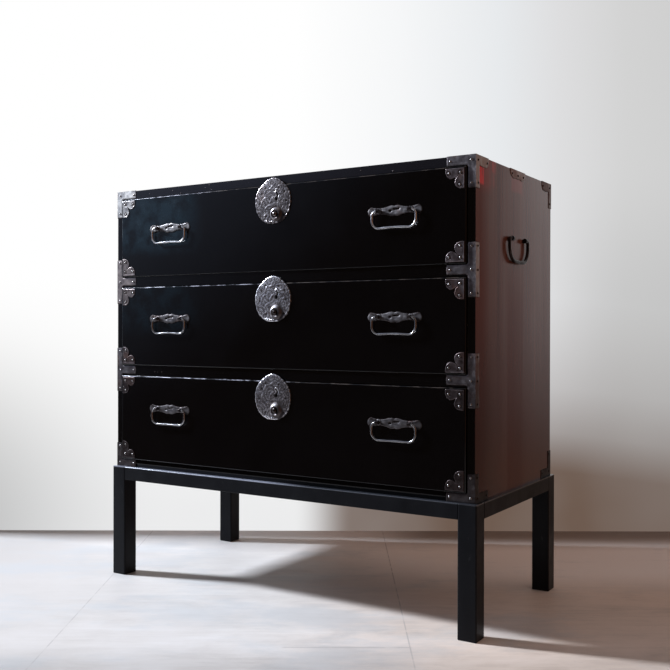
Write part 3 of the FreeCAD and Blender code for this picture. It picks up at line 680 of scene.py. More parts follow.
dress(WOOD_X, "dust_board_upper", "dust_board_lower", "case_back")
dress(NAIL_IRON, "case_nails")
dress(DARK_IRON, "side_handle_posts")
dress(STAND, "stand_legs", "stand_end_rails")
dress(SIDE_LOOK, "case_side_left", "case_side_right")
dress(TOP_LOOK, "case_top")
dress(FLOOR_LOOK, "case_bottom")
dress(RAIL_LOOK, "case_rail_upper", "case_rail_lower")
DRAWERS = ("drawer_1", "drawer_2", "drawer_3")
for drawer in DRAWERS:
    dress(WOOD_Y, drawer + "_sides", drawer + "_bottom")
    dress(WOOD_X, drawer + "_back")
    dress(NAIL_IRON, drawer + "_nails")
    dress(DARK_IRON, drawer + "_handle_posts", drawer + "_lock_case", drawer + "_lock_bolt")
    dress(KNOB_IRON, drawer + "_lock_knob")

# ---------------------------------------------------------------- drawer fronts and stand rails

FRONT_HALF, BOX_SIDE, LAP_Y, LOW_LAP_Y, FRONT_BACK = 432.0, 12.0, 5.0, 9.0, 15.0
LAP_Z, SIDE_LAP_Z = 8.0, 6.0   # heights of the laps along the foot and on the box sides
INSET = 0.02                   # keeps a lap's faces off the board's own
for i, drawer in enumerate(DRAWERS):
    z0, z1 = OPEN_LOW[i] + GAP_LOW, OPEN_TOP[i] - GAP_TOP
    inner = FRONT_HALF - BOX_SIDE
    bm = bmesh.new()
    add_board(bm, -FRONT_HALF, FRONT_HALF, FACE, LAP_Y, z0, z1, 1.5, 4, front_only=True)
    add_board(bm, -inner, inner, LAP_Y - 0.1, FRONT_BACK, z0 + LAP_Z, z1 - INSET, 0.0)
    add_board(bm, -inner, inner, LAP_Y - 0.1, LOW_LAP_Y, z0 + INSET, z0 + LAP_Z + 0.1, 0.0)
    for s in (-1, 1):
        x0, x1 = sorted((s * inner, s * (FRONT_HALF - INSET)))
        add_board(bm, x0, x1, LAP_Y - 0.1, FRONT_BACK, z1 - SIDE_LAP_Z, z1 - INSET, 0.0)
    finish_mesh(bm, drawer + "_front_board", FRONT_LOOKS[i], drawer, [drawer + "_front"],
                weighted=True)

BAR_HALF, BAR_LOW = 418.0, 220.0
for name, y0, y1 in (("front", -8.0, 12.0), ("rear", 402.0, 422.0)):
    bm = bmesh.new()
    add_board(bm, -BAR_HALF, BAR_HALF, y0, y1, BAR_LOW, STAND_TOP, 1.4, 4, long_only=True)
    finish_mesh(bm, "stand_%s_bar" % name, STAND, "case", ["stand_rail_" + name],
                weighted=True)

# ---------------------------------------------------------------- case fittings

STRAP_SIDE, SIDE_ARM = 17.0, 60.0            # a strap's width and an arm's reach along the side
STRAP_IN, ARM_IN = HALF - 16.0, HALF - 58.5  # inner ends of a strap and an arm on the front
CLIP_HALF, CLIP_Y = 42.0, 211.0              # the cloud-shaped plate over the middle of each side


def strap_face(u, v, d):
    """A flat strap with a soft arris, darkened along its edge."""
    w = PLATE - 0.45 * (1 - ease(d, 0.0, 0.9)) + 0.05 * np.sin(u * 0.31 + v * 0.13) * np.sin(v * 0.37)
    return w, 0.12 + 0.43 * ease(d, 0.2, 1.5)


def sheet(target, outline, place, *folds):
    """One plate with its folds, added to a (mesh, levels) pair."""
    add_relief(*target, arc_outline(outline, 2.0), place, strap_face, 2.0, folds=folds)


def box(u0, u1, v0, v1):
    return [(u0, v0, 0), (u1, v0, 0), (u1, v1, 0), (u0, v1, 0)]


def strap(v0, v1):
    return [(HALF, v0, 0), (HALF, v1, 0), (STRAP_IN, v1, 0), (STRAP_IN, v0, 0)]


front_set, side_set = (bmesh.new(), []), (bmesh.new(), [])
for s in (1, -1):
    front, out, back, top = front_place(0, 0, PLATE, su=s), side_place(s), back_place(s), top_place(s)
    for low, high in RAIL_Z:
        mid = (low + high) / 2
        up, down = mid + 51.0, mid - 49.5
        tee = [(HALF, up, 0), (STRAP_IN, up, 0), (STRAP_IN, mid + 12, 0.6), (STRAP_IN - 2.5, mid + 10, 0),
               (ARM_IN, mid + 10, 0.5), (ARM_IN, mid - 8, 0), (STRAP_IN - 2.5, mid - 8, 0.6),
               (STRAP_IN, mid - 10.5, 0), (STRAP_IN, down, 0), (HALF, down, 0)]
        sheet(front_set, tee, front, ((HALF, up), (HALF, down)))
        sheet(side_set, box(0, STRAP_SIDE, down, up), out, ((0, up), (0, down)))
    low = CASE_TOP - 61.0
    ell = [(HALF, CASE_TOP, 0), (ARM_IN, CASE_TOP, 0), (ARM_IN, CASE_TOP - 18.5, 0),
           (STRAP_IN - 2, CASE_TOP - 18.5, 0.5), (STRAP_IN, CASE_TOP - 20.5, 0), (STRAP_IN, low, 0),
           (HALF, low, 0)]
    sheet(front_set, ell, front, ((HALF, low), (HALF, CASE_TOP)), ((ARM_IN, CASE_TOP), (HALF, CASE_TOP)))
    for y_at, way, reach in ((0.0, 1.0, 61.0), (CASE_BACK, -1.0, 54.0)):
        low = CASE_TOP - reach
        lobed = [(STRAP_SIDE, low, 0), (0, low, 0), (0, CASE_TOP, 0), (SIDE_ARM, CASE_TOP, 0),
                 (SIDE_ARM - 1, CASE_TOP - 10, 1.6), (SIDE_ARM - 9, CASE_TOP - 19, 1.0),
                 (STRAP_SIDE + 2, CASE_TOP - 19, 0.5), (STRAP_SIDE, CASE_TOP - 21, 0)]
        sheet(side_set, [(y_at + way * u, v, b * -way) for u, v, b in lobed], out,
              ((y_at, low), (y_at, CASE_TOP)), ((y_at, CASE_TOP), (y_at + way * SIDE_ARM, CASE_TOP)))
        y_in, y_out = sorted((y_at, y_at + way * (SIDE_ARM - 1)))
        sheet(side_set, box(STRAP_IN, HALF, y_in, y_out), top, ((HALF, y_in), (HALF, y_out)),
              ((STRAP_IN, y_at), (HALF, y_at)))
    low = CASE_TOP - 54.0
    sheet(side_set, strap(low, CASE_TOP), back, ((HALF, low), (HALF, CASE_TOP)),
          ((STRAP_IN, CASE_TOP), (HALF, CASE_TOP)))
    foot, arm_z = STAND_TOP + 54.0, STAND_TOP + 17.5
    ell = [(HALF, foot, 0), (STRAP_IN, foot, 0), (STRAP_IN, arm_z + 2, 0.5), (STRAP_IN - 2, arm_z, 0),
           (ARM_IN, arm_z, 0), (ARM_IN, STAND_TOP, 0), (HALF, STAND_TOP, 0)]
    sheet(front_set, ell, front, ((HALF, foot), (HALF, STAND_TOP)))
    for y_at, way in ((0.0, 1.0), (CASE_BACK, -1.0)):
        ell = [(0, STAND_TOP, 0), (0, foot, 0), (STRAP_SIDE, foot, 0), (STRAP_SIDE, arm_z, 0),
               (SIDE_ARM, arm_z, 0), (SIDE_ARM, STAND_TOP, 0)]
        sheet(side_set, [(y_at + way * u, v, b) for u, v, b in ell], out, ((y_at, STAND_TOP), (y_at, foot)))
    sheet(side_set, strap(STAND_TOP, foot), back, ((HALF, STAND_TOP), (HALF, foot)))
    ends = CLIP_Y - CLIP_HALF, CLIP_Y + CLIP_HALF
    cloud = [(-CLIP_HALF, 19, 0), (-CLIP_HALF, 14, 2.0), (-CLIP_HALF + 12, 3, 2.2), (-12, 2.5, 1.5),
             (12, 2.5, 2.2), (CLIP_HALF - 12, 3, 2.0), (CLIP_HALF, 14, 0), (CLIP_HALF, 19, 0)]
    sheet(side_set, [(CLIP_Y + u, CASE_TOP - 19 + v, b) for u, v, b in cloud], out,
          ((ends[0], CASE_TOP), (ends[1], CASE_TOP)))
    sheet(side_set, box(STRAP_IN, HALF, *ends), top, ((HALF, ends[0]), (HALF, ends[1])))
for (bm, levels), name, look in ((front_set, "front", PLATE_IRON), (side_set, "side", SIDE_IRON)):
    finish_mesh(bm, "case_%s_fittings" % name, look, "case", ["case_corner_plates"],
                relief=levels)

# old pin heads left in the front edges of the boards: x, z and radius
OLD_PINS = [(-349.8, 875.7, 1.1), (-280.4, 878.1, 1.3), (-255.9, 869.8, 1.5), (-185.2, 876.5, 1.1),
            (-174.6, 881.7, 1.2), (-168.1, 871.0, 1.5), (207.5, 878.2, 1.6), (278.5, 871.0, 1.6),
            (-332.9, 470.9, 1.4), (-323.8, 471.1, 1.0), (-311.7, 471.4, 1.5)]
bm = bmesh.new()
for x, z, r in OLD_PINS:
    dome = bmesh.ops.create_uvsphere(bm, u_segments=12, v_segments=8, radius=r / 1000)["verts"]
    for v in dome:
        v.co = mm(x, 1.05, z) + Vector((v.co.x, v.co.y * 0.35, v.co.z))
finish_mesh(bm, "case_old_pins", PLATE_IRON, "case")

# ---------------------------------------------------------------- drawer corner plates

CORNER_IN = 3.0           # from the drawer front's edges
CORNER = [(0, 0, 0), (37.5, 0, 0.6), (37.5, 8.0, 2.6), (27.0, 19.8, 1.1), (14.0, 14.0, 1.1),
          (19.8, 27.0, 2.6), (8.0, 37.5, 0.6), (0, 37.5, 0)]
CORNER_NAILS = [(8.2, 8.2), (31.2, 8.8), (9.2, 30.2)]


def corner_face(u, v, d):
    """Flat lobes inside a thin beaded rim, a chased line along the middle and a dark ring round each nail."""
    rim = ease(d, 0.0, 0.5) * (1 - ease(d, 1.2, 1.8))
    w = PLATE - 0.40 * (1 - ease(d, 0.0, 0.5)) + 0.14 * rim - 0.10 * ease(d, 1.2, 1.9)
    for cu, cv in CORNER_NAILS:
        r = np.hypot(u - cu, v - cv)
        w = w - 0.30 * np.exp(-((r - 3.8) / 0.9) ** 2) + 0.10 * np.exp(-((r - 5.4) / 0.7) ** 2)
    w = w - 0.14 * np.exp(-((u - v) / 0.7) ** 2) * ease(np.hypot(u, v), 12.0, 14.0)
    return w, np.clip((w - 0.58) / 0.75, 0, 1)


corner_outline = arc_outline(CORNER, 0.9)
for i, drawer in enumerate(DRAWERS):
    bm, levels = bmesh.new(), []
    z0, z1 = OPEN_LOW[i] + GAP_LOW, OPEN_TOP[i] - GAP_TOP
    for su in (-1, 1):
        for sv in (-1, 1):
            cx, cz = su * (FRONT_HALF - CORNER_IN), (z1 if sv > 0 else z0) - sv * CORNER_IN
            add_relief(bm, levels, corner_outline, front_place(cx, cz, FACE, -su, -sv), corner_face, 0.95)
    finish_mesh(bm, drawer + "_corner_mounts", CORNER_IRON, drawer,
                [drawer + "_corner_plates"], relief=levels, sharp=50)

# ---------------------------------------------------------------- handles

# right halves of the outlines: across, up, bulge to the next point
PLATE_HALF = [(0, 8.3, -1.3), (12.5, 8.6, 2.6), (50, 8.5, -2.6), (59, -2, -1.2), (52, -10.5, 3.4),
              (13, -9.3, -1.6), (0, -9.8, 0)]
LOCK_HALF = [(0, 47.25, -0.6), (10, 44.8, -1.3), (20.5, 38.7, -1.2), (29.5, 31.4, -1.2), (37.6, 22.8, -1.3),
             (42.8, 11.2, -1.3), (44.3, -2, -1.3), (42.7, -15, -1.3), (38, -27, -1.3), (30.2, -36.3, -1.3),
             (19.8, -43.3, -1.2), (8.5, -46.7, -0.5), (0, -47.25, 0)]


def mirrored(half):
    back = [(-u, v, b) for (u, v, _), (_, _, b) in zip(half[::-1], half[-2::-1])]
    return list(half[:-1]) + back


def stadium(a, b, w, n=6):
    """A round-ended slot's loop from a to b."""
    a, b = np.array(a, float), np.array(b, float)
    way = math.atan2(*(b - a)[::-1])
    loop = []
    for centre, start in ((b, way - math.pi / 2), (a, way + math.pi / 2)):
        turns = [start + math.pi * k / n for k in range(n + 1)]
        loop += [centre + w / 2 * np.array((math.cos(t), math.sin(t))) for t in turns]
    return np.array(loop)


HANDLE_X, HANDLE_DOWN = 285.0, 73.0    # from the middle, and below the opening's top
POST_X, BAIL_R, BAIL_OUT = 34.5, 2.0, 6.0
BAIL = (47.5, 34.0, 9.8, 16.0, 31.0)   # half width, drop, upper and lower corner radii, ends' x
BAIL_BOWS = (1.6, 1.6, 0.2)            # how far each drawer's bails bow up in the middle
plate_outline = arc_outline(mirrored(PLATE_HALF), 1.0)
pierced = [stadium((-10.2, -0.8), (-8.4, -0.6), 4.0), stadium((-2.0, 2.2), (9.5, 2.9), 2.8)]


def handle_face(u, v, d):
    """Ribbed fans at both ends, bosses under the eyes and a flower round the two pierced holes."""
    au = np.abs(u)
    w = 1.2 - 0.5 * (1 - ease(d, 0.0, 0.9)) + 0.15 * ease(d, 0.8, 3.0)
    fan = ease(au, 41.0, 45.0)
    angle = np.arctan2(v + 1.0, au - 38.0)
    w = w + fan * (0.22 * np.abs(np.cos(angle * 3.2)) ** 0.8 - 0.16) * ease(d, 0.2, 1.2)
    boss = np.hypot(au - POST_X, v)
    w = w + 0.20 * (1 - ease(boss, 4.6, 6.2)) - 0.40 * np.exp(-((boss - 6.6) / 1.2) ** 2)
    stem = np.exp(-((v - 0.9 * np.sin(u * 0.16)) / 1.6) ** 2)
    w = w + 0.22 * stem * ease(au, 17.0, 21.0) * (1 - ease(au, 26.0, 29.0))
    petals = np.abs(np.cos(np.arctan2(v * 1.5, u - 0.5) * 2.5))
    flower = np.hypot((u - 0.5) / 15.5, v / 8.0)
    w = w + 0.20 * petals * ease(flower, 0.45, 0.7) * (1 - ease(flower, 0.95, 1.1))
    w = w - 0.15 * (1 - ease(flower, 0.30, 0.55))
    ribs = fan * np.abs(np.sin(angle * 3.2)) ** 3
    return w, np.clip((w - 0.62) / 1.15 - 0.35 * ribs, 0, 1)


def bail_points(half_w, drop, top_r, low_r, end, bow=0.0):
    """The loop's line in its own plane, across and up, between its two ends at x = -end and end."""
    path = rounded_path([((-end, 0, 0), 0), ((-half_w, 0, 0), top_r), ((-half_w, 0, -drop), low_r),
                         ((half_w, 0, -drop), low_r), ((half_w, 0, 0), top_r), ((end, 0, 0), 0)])
    out = []
    for p in path:
        lift = bow * max(0.0, math.cos(p.x / half_w * math.pi * 0.6)) * max(0.0, -p.z / drop - 0.6) / 0.4
        out.append((p.x, p.z + lift))
    return out


SIDES = (("left", -1), ("right", 1))
for i, drawer in enumerate(DRAWERS):
    bm, levels = bmesh.new(), []
    line = bail_points(*BAIL, BAIL_BOWS[i])
    for side, s in SIDES:
        px, pz = s * HANDLE_X, OPEN_TOP[i] - HANDLE_DOWN
        add_relief(bm, levels, plate_outline, front_place(px, pz, FACE), handle_face, 0.95, holes=pierced)
        bar = bmesh.new()
        swell = [BAIL_R * (1.0 + 0.06 * math.sin(k * 0.21 + i + 1 + s)) if 2 < k < len(line) - 3 else BAIL_R
                 for k in range(len(line))]
        tube(bar, [mm(px + u, FACE - BAIL_OUT, pz + v) for u, v in line], [r / 1000 for r in swell])
        bail = "%s_bail_%s" % (drawer, side)
        finish_mesh(bar, bail + "_bar", STEEL, bail, [bail], sharp=60)
    finish_mesh(bm, drawer + "_handle_mounts", HANDLE_IRON, drawer,
                [drawer + "_handle_plates"], relief=levels, sharp=50)

CARRY_X, CARRY_Y, CARRY_Z = 454.5, 205.0, 748.0   # the side bails' pivots
CARRY = (50.0, 45.0, 6.0, 30.0, 32.0)
CARRY_R, CARRY_SWELL = 3.0, 0.7
CARRY_FLAT = 2.9                       # half the bar's depth, which clears the side board when swung in

for side, s in SIDES:
    bar = bmesh.new()
    line = bail_points(*CARRY)
    swell = [math.sin(math.pi * k / (len(line) - 1)) ** 0.5 for k in range(len(line))]
    tube(bar, [mm(s * CARRY_X, CARRY_Y + u, CARRY_Z + v) for u, v in line],
         [(CARRY_R + CARRY_SWELL * part) / 1000 for part in swell])
    for v in bar.verts:
        depth = v.co.x * 1000 - s * CARRY_X
        v.co.x = (s * CARRY_X + max(-CARRY_FLAT, min(CARRY_FLAT, depth))) / 1000
    bail = "side_bail_" + side
    finish_mesh(bar, bail + "_bar", DARK_IRON, bail, [bail], sharp=60)

# ---------------------------------------------------------------- lock plates

LOCK_T, LOCK_MID = 2.0, -33.75
KNOB = (7.5, -28.25)
KEY = (9.3, 2.75)
KEY_R, SLOT_W = 3.4, 3.2
KEY_BEND = [(0, 0), (4.0, 7.8), (0, 13.2)]
COLLAR_R = (4.9, 5.9, 8.6, 9.9, 10.7, 14.3, 15.2, 16.2)
COLLAR_W = (3.3, 3.8, 6.0, 6.5, 6.3, 3.3, 2.0, 2.0)
COLLAR_RINGS = (5.9, 7.2, 8.6, 9.9, 10.7, 12.4, 14.3, 15.2)
LOCK_PINS = [(-18.0, 7.0), (16.0, 8.0), (-28.0, 18.0), (30.0, 17.0), (-33.0, 39.0), (33.5, 36.0),
             (-17.0, 66.0), (27.0, 65.0)]
# centres of the chased swirls, then curled leaves: start, way, reach, curl, width
SWIRLS = [(-34, -30), (-30, 24), (-4, 40), (-6, 4), (22, 24), (26, -8), (4, -44), (-44, -4), (40, 10),
          (30, -30)]
LEAVES = [(-30, -6, 62, 22, -1.3, 2.2), (-22, -20, 50, 24, -1.4, 2.2), (-24, 12, 48, 20, 1.2, 2.0),
          (-8, -6, 66, 22, -0.9, 2.2), (-10, 24, 24, 16, 1.6, 2.0), (4, 14, 72, 16, -1.6, 2.0),
          (17, 8, 80, 15, -1.5, 2.0), (24, -10, 84, 16, -1.2, 2.0), (20, -20, 30, 13, 1.5, 1.8),
          (33, 4, 100, 12, 1.3, 1.7), (12, 28, 35, 12, -1.8, 1.8), (-24, -31, 20, 13, 1.3, 1.8),
          (30, -24, 110, 11, 1.4, 1.7)]


def leaf_lines(turn):
    """Each leaf's spine as points, with its half width there."""
    lines = []
    for k, (u, v, way, reach, curl, width) in enumerate(LEAVES):
        a = math.radians(way + turn * 6.0 * math.sin(k * 2.1 + turn))
        steps = 12
        pts = [(u, v)]
        for j in range(steps):
            a += curl * (j / steps) * 2.2 / steps + 0.25 * math.sin(k + j * 0.5) / steps
            pts.append((pts[-1][0] + reach / steps * math.cos(a), pts[-1][1] + reach / steps * math.sin(a)))
        lines.append((np.array(pts), width))
    return lines


def lock_face(turn):
    """Chased swirls and leaves inside a double rim, pearls along the foot and a collar round the button; the
    tone holds painted shade to the right and painted light and shadow on the collar.
    """
    lines = leaf_lines(turn)
    centres = np.array([(u + 2.5 * math.sin(k + turn * 2.0), v + 2.5 * math.cos(k * 1.7 + turn))
                        for k, (u, v) in enumerate(SWIRLS)])

    def face(u, v, d):
        points = np.stack([u, v], 1)
        inner = ease(d, 3.6, 4.8)
        reach = np.sqrt(((points[:, None] - centres) ** 2).sum(2)).min(1)
        groove = np.abs(np.cos(math.pi * reach / (6.8 - 0.9 * (u > 8)))) ** 0.5
        leaf, edge = np.zeros(len(u)), np.zeros(len(u))
        for pts, width in lines:
            a, b = pts[:-1], pts[1:]
            ab = b - a
            t = np.clip(((points[:, None] - a) * ab).sum(2) / (ab ** 2).sum(1), 0, 1)
            gap = np.sqrt((((a + t[..., None] * ab) - points[:, None]) ** 2).sum(2))
            k = gap.argmin(1)
            along = (k + t[np.arange(len(k)), k]) / len(a)
            half = width * (0.30 + 0.85 * np.sin(np.clip(along * 1.1, 0, 1) * math.pi) ** 0.7)
            r = gap.min(1) / half
            leaf = np.maximum(leaf, np.sqrt(np.clip(1 - r * r, 0, 1)) * (0.7 + 0.3 * along))
            edge = np.maximum(edge, np.exp(-((r - 1.25) / 0.30) ** 2))
        edge = edge * (1 - ease(leaf, 0.0, 0.3))
        wave = np.sin(u * 0.95 + 1.7 * np.sin(v * 0.7 + turn))
        pits = np.clip(wave * np.sin(v * 0.9 - 1.3 * np.sin(u * 0.6)) - 0.3, 0, 1)
        pits = pits * np.where(u > 4, 1.0, 0.45)
        zigzag = v + 0.8 * np.abs((u + 5.0 * turn) % 14.0 - 7.0)
        strokes = np.clip(np.cos(2 * math.pi * zigzag / 4.4) + 0.2, 0, 1) * (1 - ease(leaf, 0.2, 0.6))
        strokes = strokes * ease(0.5 * v - u, -8.0, 6.0)
        beads = np.abs(np.sin(np.arctan2(v, u) * 15.0)) - 0.5
        on_rim = (1 - ease(d, 2.6, 3.2)) * ease(d, 0.3, 1.0)
        moat = ease(d, 2.4, 3.0) * (1 - ease(d, 3.4, 4.4))
        w = LOCK_T - 0.9 * (1 - ease(d, 0.0, 1.1)) + 0.25 * on_rim + 0.45 * beads * on_rim - 0.35 * moat
        w = w + inner * (0.18 * groove - 0.12 + 0.18 * leaf - 0.16 * edge - 0.26 * pits - 0.12 * strokes)
        # the moat is darker, and darker still towards the right as painted shade
        tone = 0.56 + 0.25 * beads * on_rim - 0.25 * moat * ease(u, -20.0, 15.0) - 0.32 * moat
        tone = tone + inner * (1.35 * (groove - 0.78) + 0.28 * leaf - 0.85 * edge - 1.10 * pits
                               - 0.80 * strokes)
        for k in range(8):
            cu = -16.0 + 4.6 * k
            r = np.hypot(u - cu, v + 43.9 - 0.011 * (cu + 2.0) ** 2)
            w = np.maximum(w, LOCK_T - 0.3 + np.sqrt(np.clip(1.8 ** 2 - r * r, 0, None)) * 0.75)
        for pu, pz in LOCK_PINS:
            r = np.hypot(u - pu, v - (-pz - LOCK_MID))
            dish = 1 - ease(r, 1.9, 3.4)
            w = w * (1 - dish) + (LOCK_T - 0.3) * dish
            tone = tone * (1 - dish)
        r = np.hypot(u - KEY[0], v - KEY[1])
        flat = 1 - ease(r, 4.4, 6.4)
        w = w * (1 - flat) + (LOCK_T - 0.2) * flat
        tone = tone * (1 - flat) + 0.16 * flat
        # the right half darker: painted shade
        tone = tone * (1.0 - 0.42 * ease(u, 4.0, 20.0))
        r = np.hypot(u - KNOB[0], v - KNOB[1])
        cone = np.interp(r, COLLAR_R, COLLAR_W)
        part = 1 - ease(r, 15.2, 17.0)
        crown = 0.9 * (1 - (u * u + v * v) / 45.0 ** 2)
        w = (w + crown) * (1 - part) + cone * part
        # the collar: lighter at its upper left, darker at its lower right and lighter on the top lock,
        # painted light and shade; a painted shadow to its right, and dark inside
        worn = 0.44 if turn == 0 else 0.20
        lit = worn - 0.038 * (u - KNOB[0]) + 0.024 * (v - KNOB[1])
        shadow = 0.55 * np.exp(-((r - 17.5) / 3.0) ** 2) * ease(u - KNOB[0], 2.0, 12.0)
        tone = np.where(r < 8.8, 0.12, np.where(r < 15.5, lit, tone - shadow))
        return w, np.clip(tone, 0, 1)

    return face


lock_loop = arc_outline(mirrored(LOCK_HALF), 1.0)
bend = [(KEY[0] + u, KEY[1] + v) for u, v in KEY_BEND]
holes = [circle(*KEY, KEY_R, 20), circle(*KNOB, 5.0, 28)]
holes += [stadium(a, b, SLOT_W) for a, b in zip(bend, bend[1:])]
rings = [circle(*KNOB, r, 44) for r in COLLAR_RINGS]
for i, drawer in enumerate(DRAWERS):
    bm, levels = bmesh.new(), []
    place = front_place(0, OPEN_TOP[i] + LOCK_MID, FACE)
    add_relief(bm, levels, lock_loop, place, lock_face(i), 0.85, holes, rings)
    finish_mesh(bm, drawer + "_lock_escutcheon", LOCK_IRON, drawer, [drawer + "_lock_plate"],
                relief=levels, sharp=55)

# ---------------------------------------------------------------- stage, lights and camera

YAW, PITCH, ROLL = 0.5585, -0.0042, 0.002
EYE = Vector((1.11582, -1.75180, 0.56436))


def stage_plane(name, corners, material):
    mesh = bpy.data.meshes.new(name)
    mesh.from_pydata(corners, [], [(0, 1, 2, 3)])
    mesh.materials.append(material)
    obj = new_object(name, mesh)


WALL_AT = Vector((-0.052, 0.574, 0.0))
WALL_WAY = Vector((math.cos(YAW), math.sin(YAW), 0.0))


def across_room(look):
    """Metres along the wall from WALL_AT, and metres in front of it."""
    at = look.add("ShaderNodeVectorMath", {0: look.pos, 1: WALL_AT}, operation="SUBTRACT").outputs[0]
    out = Vector((WALL_WAY.y, -WALL_WAY.x, 0.0))
    return [look.add("ShaderNodeVectorMath", {0: at, 1: way}, operation="DOT_PRODUCT").outputs["Value"]
            for way in (WALL_WAY, out)]


def floor_look():
    """Pale worn planks with painted light and shade: darker towards the left and the front, painted light and
    painted shade along the wall's foot, and browner as a painted tint in the chest's shade.
    """
    k = Look("floor", IOR=1.4)
    along, out = across_room(k)
    k.pos = k.add("ShaderNodeCombineXYZ", {0: along, 1: out}).outputs[0]
    streaks = k.noise(1.0, (5.0, 60.0, 1.0), detail=6.0, rough=0.75)
    mottle = k.noise(1.0, (6.0, 12.0, 1.0), offset=5.0, detail=8.0, rough=0.72, warp=0.4)
    plank = k.plus(k.times(streaks, 0.4), k.times(mottle, 0.6))
    pale = k.ramp(plank, [(0.36, (0.60, 0.55, 0.51)), (0.50, (0.75, 0.70, 0.655)),
                          (0.64, (0.83, 0.79, 0.76))])
    worn = k.noise(1.0, (1.8, 4.0, 1.0), offset=3.0, detail=4.0)
    pale = k.mix(k.span(worn, 0.45, 0.62, 0.0, 0.45), pale, (0.66, 0.62, 0.59))
    # darker towards the left: painted shade; warmer towards the right: a painted warm tint for the chest's
    # shade
    pale = k.mix(k.span(along, -1.5, 0.1, 0.95, 0.0), pale, (0.38, 0.355, 0.335))
    pale = k.mix(k.span(along, -0.45, 0.05, 0.0, 1.0), pale, (1.0, 0.88, 0.79), blend="MULTIPLY")
    # along the wall's foot: painted light on the right and at the left, painted shade at the right and in the
    # far left corner
    painted_light_strip = k.times(k.span(out, 0.42, 0.66, 1.0, 0.0), k.span(along, -0.5, 0.0))
    shaded_foot = k.times(k.span(out, 0.05, 0.25, 0.86, 0.0), k.span(along, -0.30, 0.05))
    corner = k.times(k.span(out, 0.0, 0.60, 0.45, 0.0), k.span(along, -1.20, -0.75, 1.0, 0.0))
    lit_foot = k.times(k.span(out, 0.0, 0.30, 0.85, 0.0), k.window(along, -0.60, -0.36, 0.40))
    cool = k.noise(1.0, (2.6, 5.0, 1.0), offset=21.0, detail=6.0, rough=0.65)
    joints = [k.times(k.window(along, at - 0.0006, at + 0.0006, 0.0012), 0.45) for at in (-0.755, -0.107)]
    plank_end = k.times(k.window(out, 0.955, 0.958, 0.003), k.window(along, -0.33, -0.11, 0.01), 0.3)
    gaps = k.span(k.noise(1.0, (30.0, 30.0, 1.0), offset=8.0), 0.35, 0.55, 0.3, 1.0)
    for amount, tone in ((painted_light_strip, (1.0, 0.95, 0.91)), (shaded_foot, (0.16, 0.11, 0.08)),
                         (corner, (0.30, 0.29, 0.28)), (lit_foot, (0.92, 0.90, 0.88)),
                         (k.span(cool, 0.48, 0.64, 0.0, 0.34), (0.40, 0.44, 0.47)),
                         # darker towards the front edge: painted shade
                         (k.span(out, 0.93, 1.07, 0.0, 0.24), (0.0, 0.0, 0.0)),
                         (k.times(k.most(*joints, plank_end), gaps), (0.27, 0.24, 0.23))):
        pale = k.mix(amount, pale, tone)
    k.colour(pale)
    k.roughness(k.span(plank, 0.3, 0.7, 0.45, 0.6))
    return k.bump([(plank, 0.0002)])


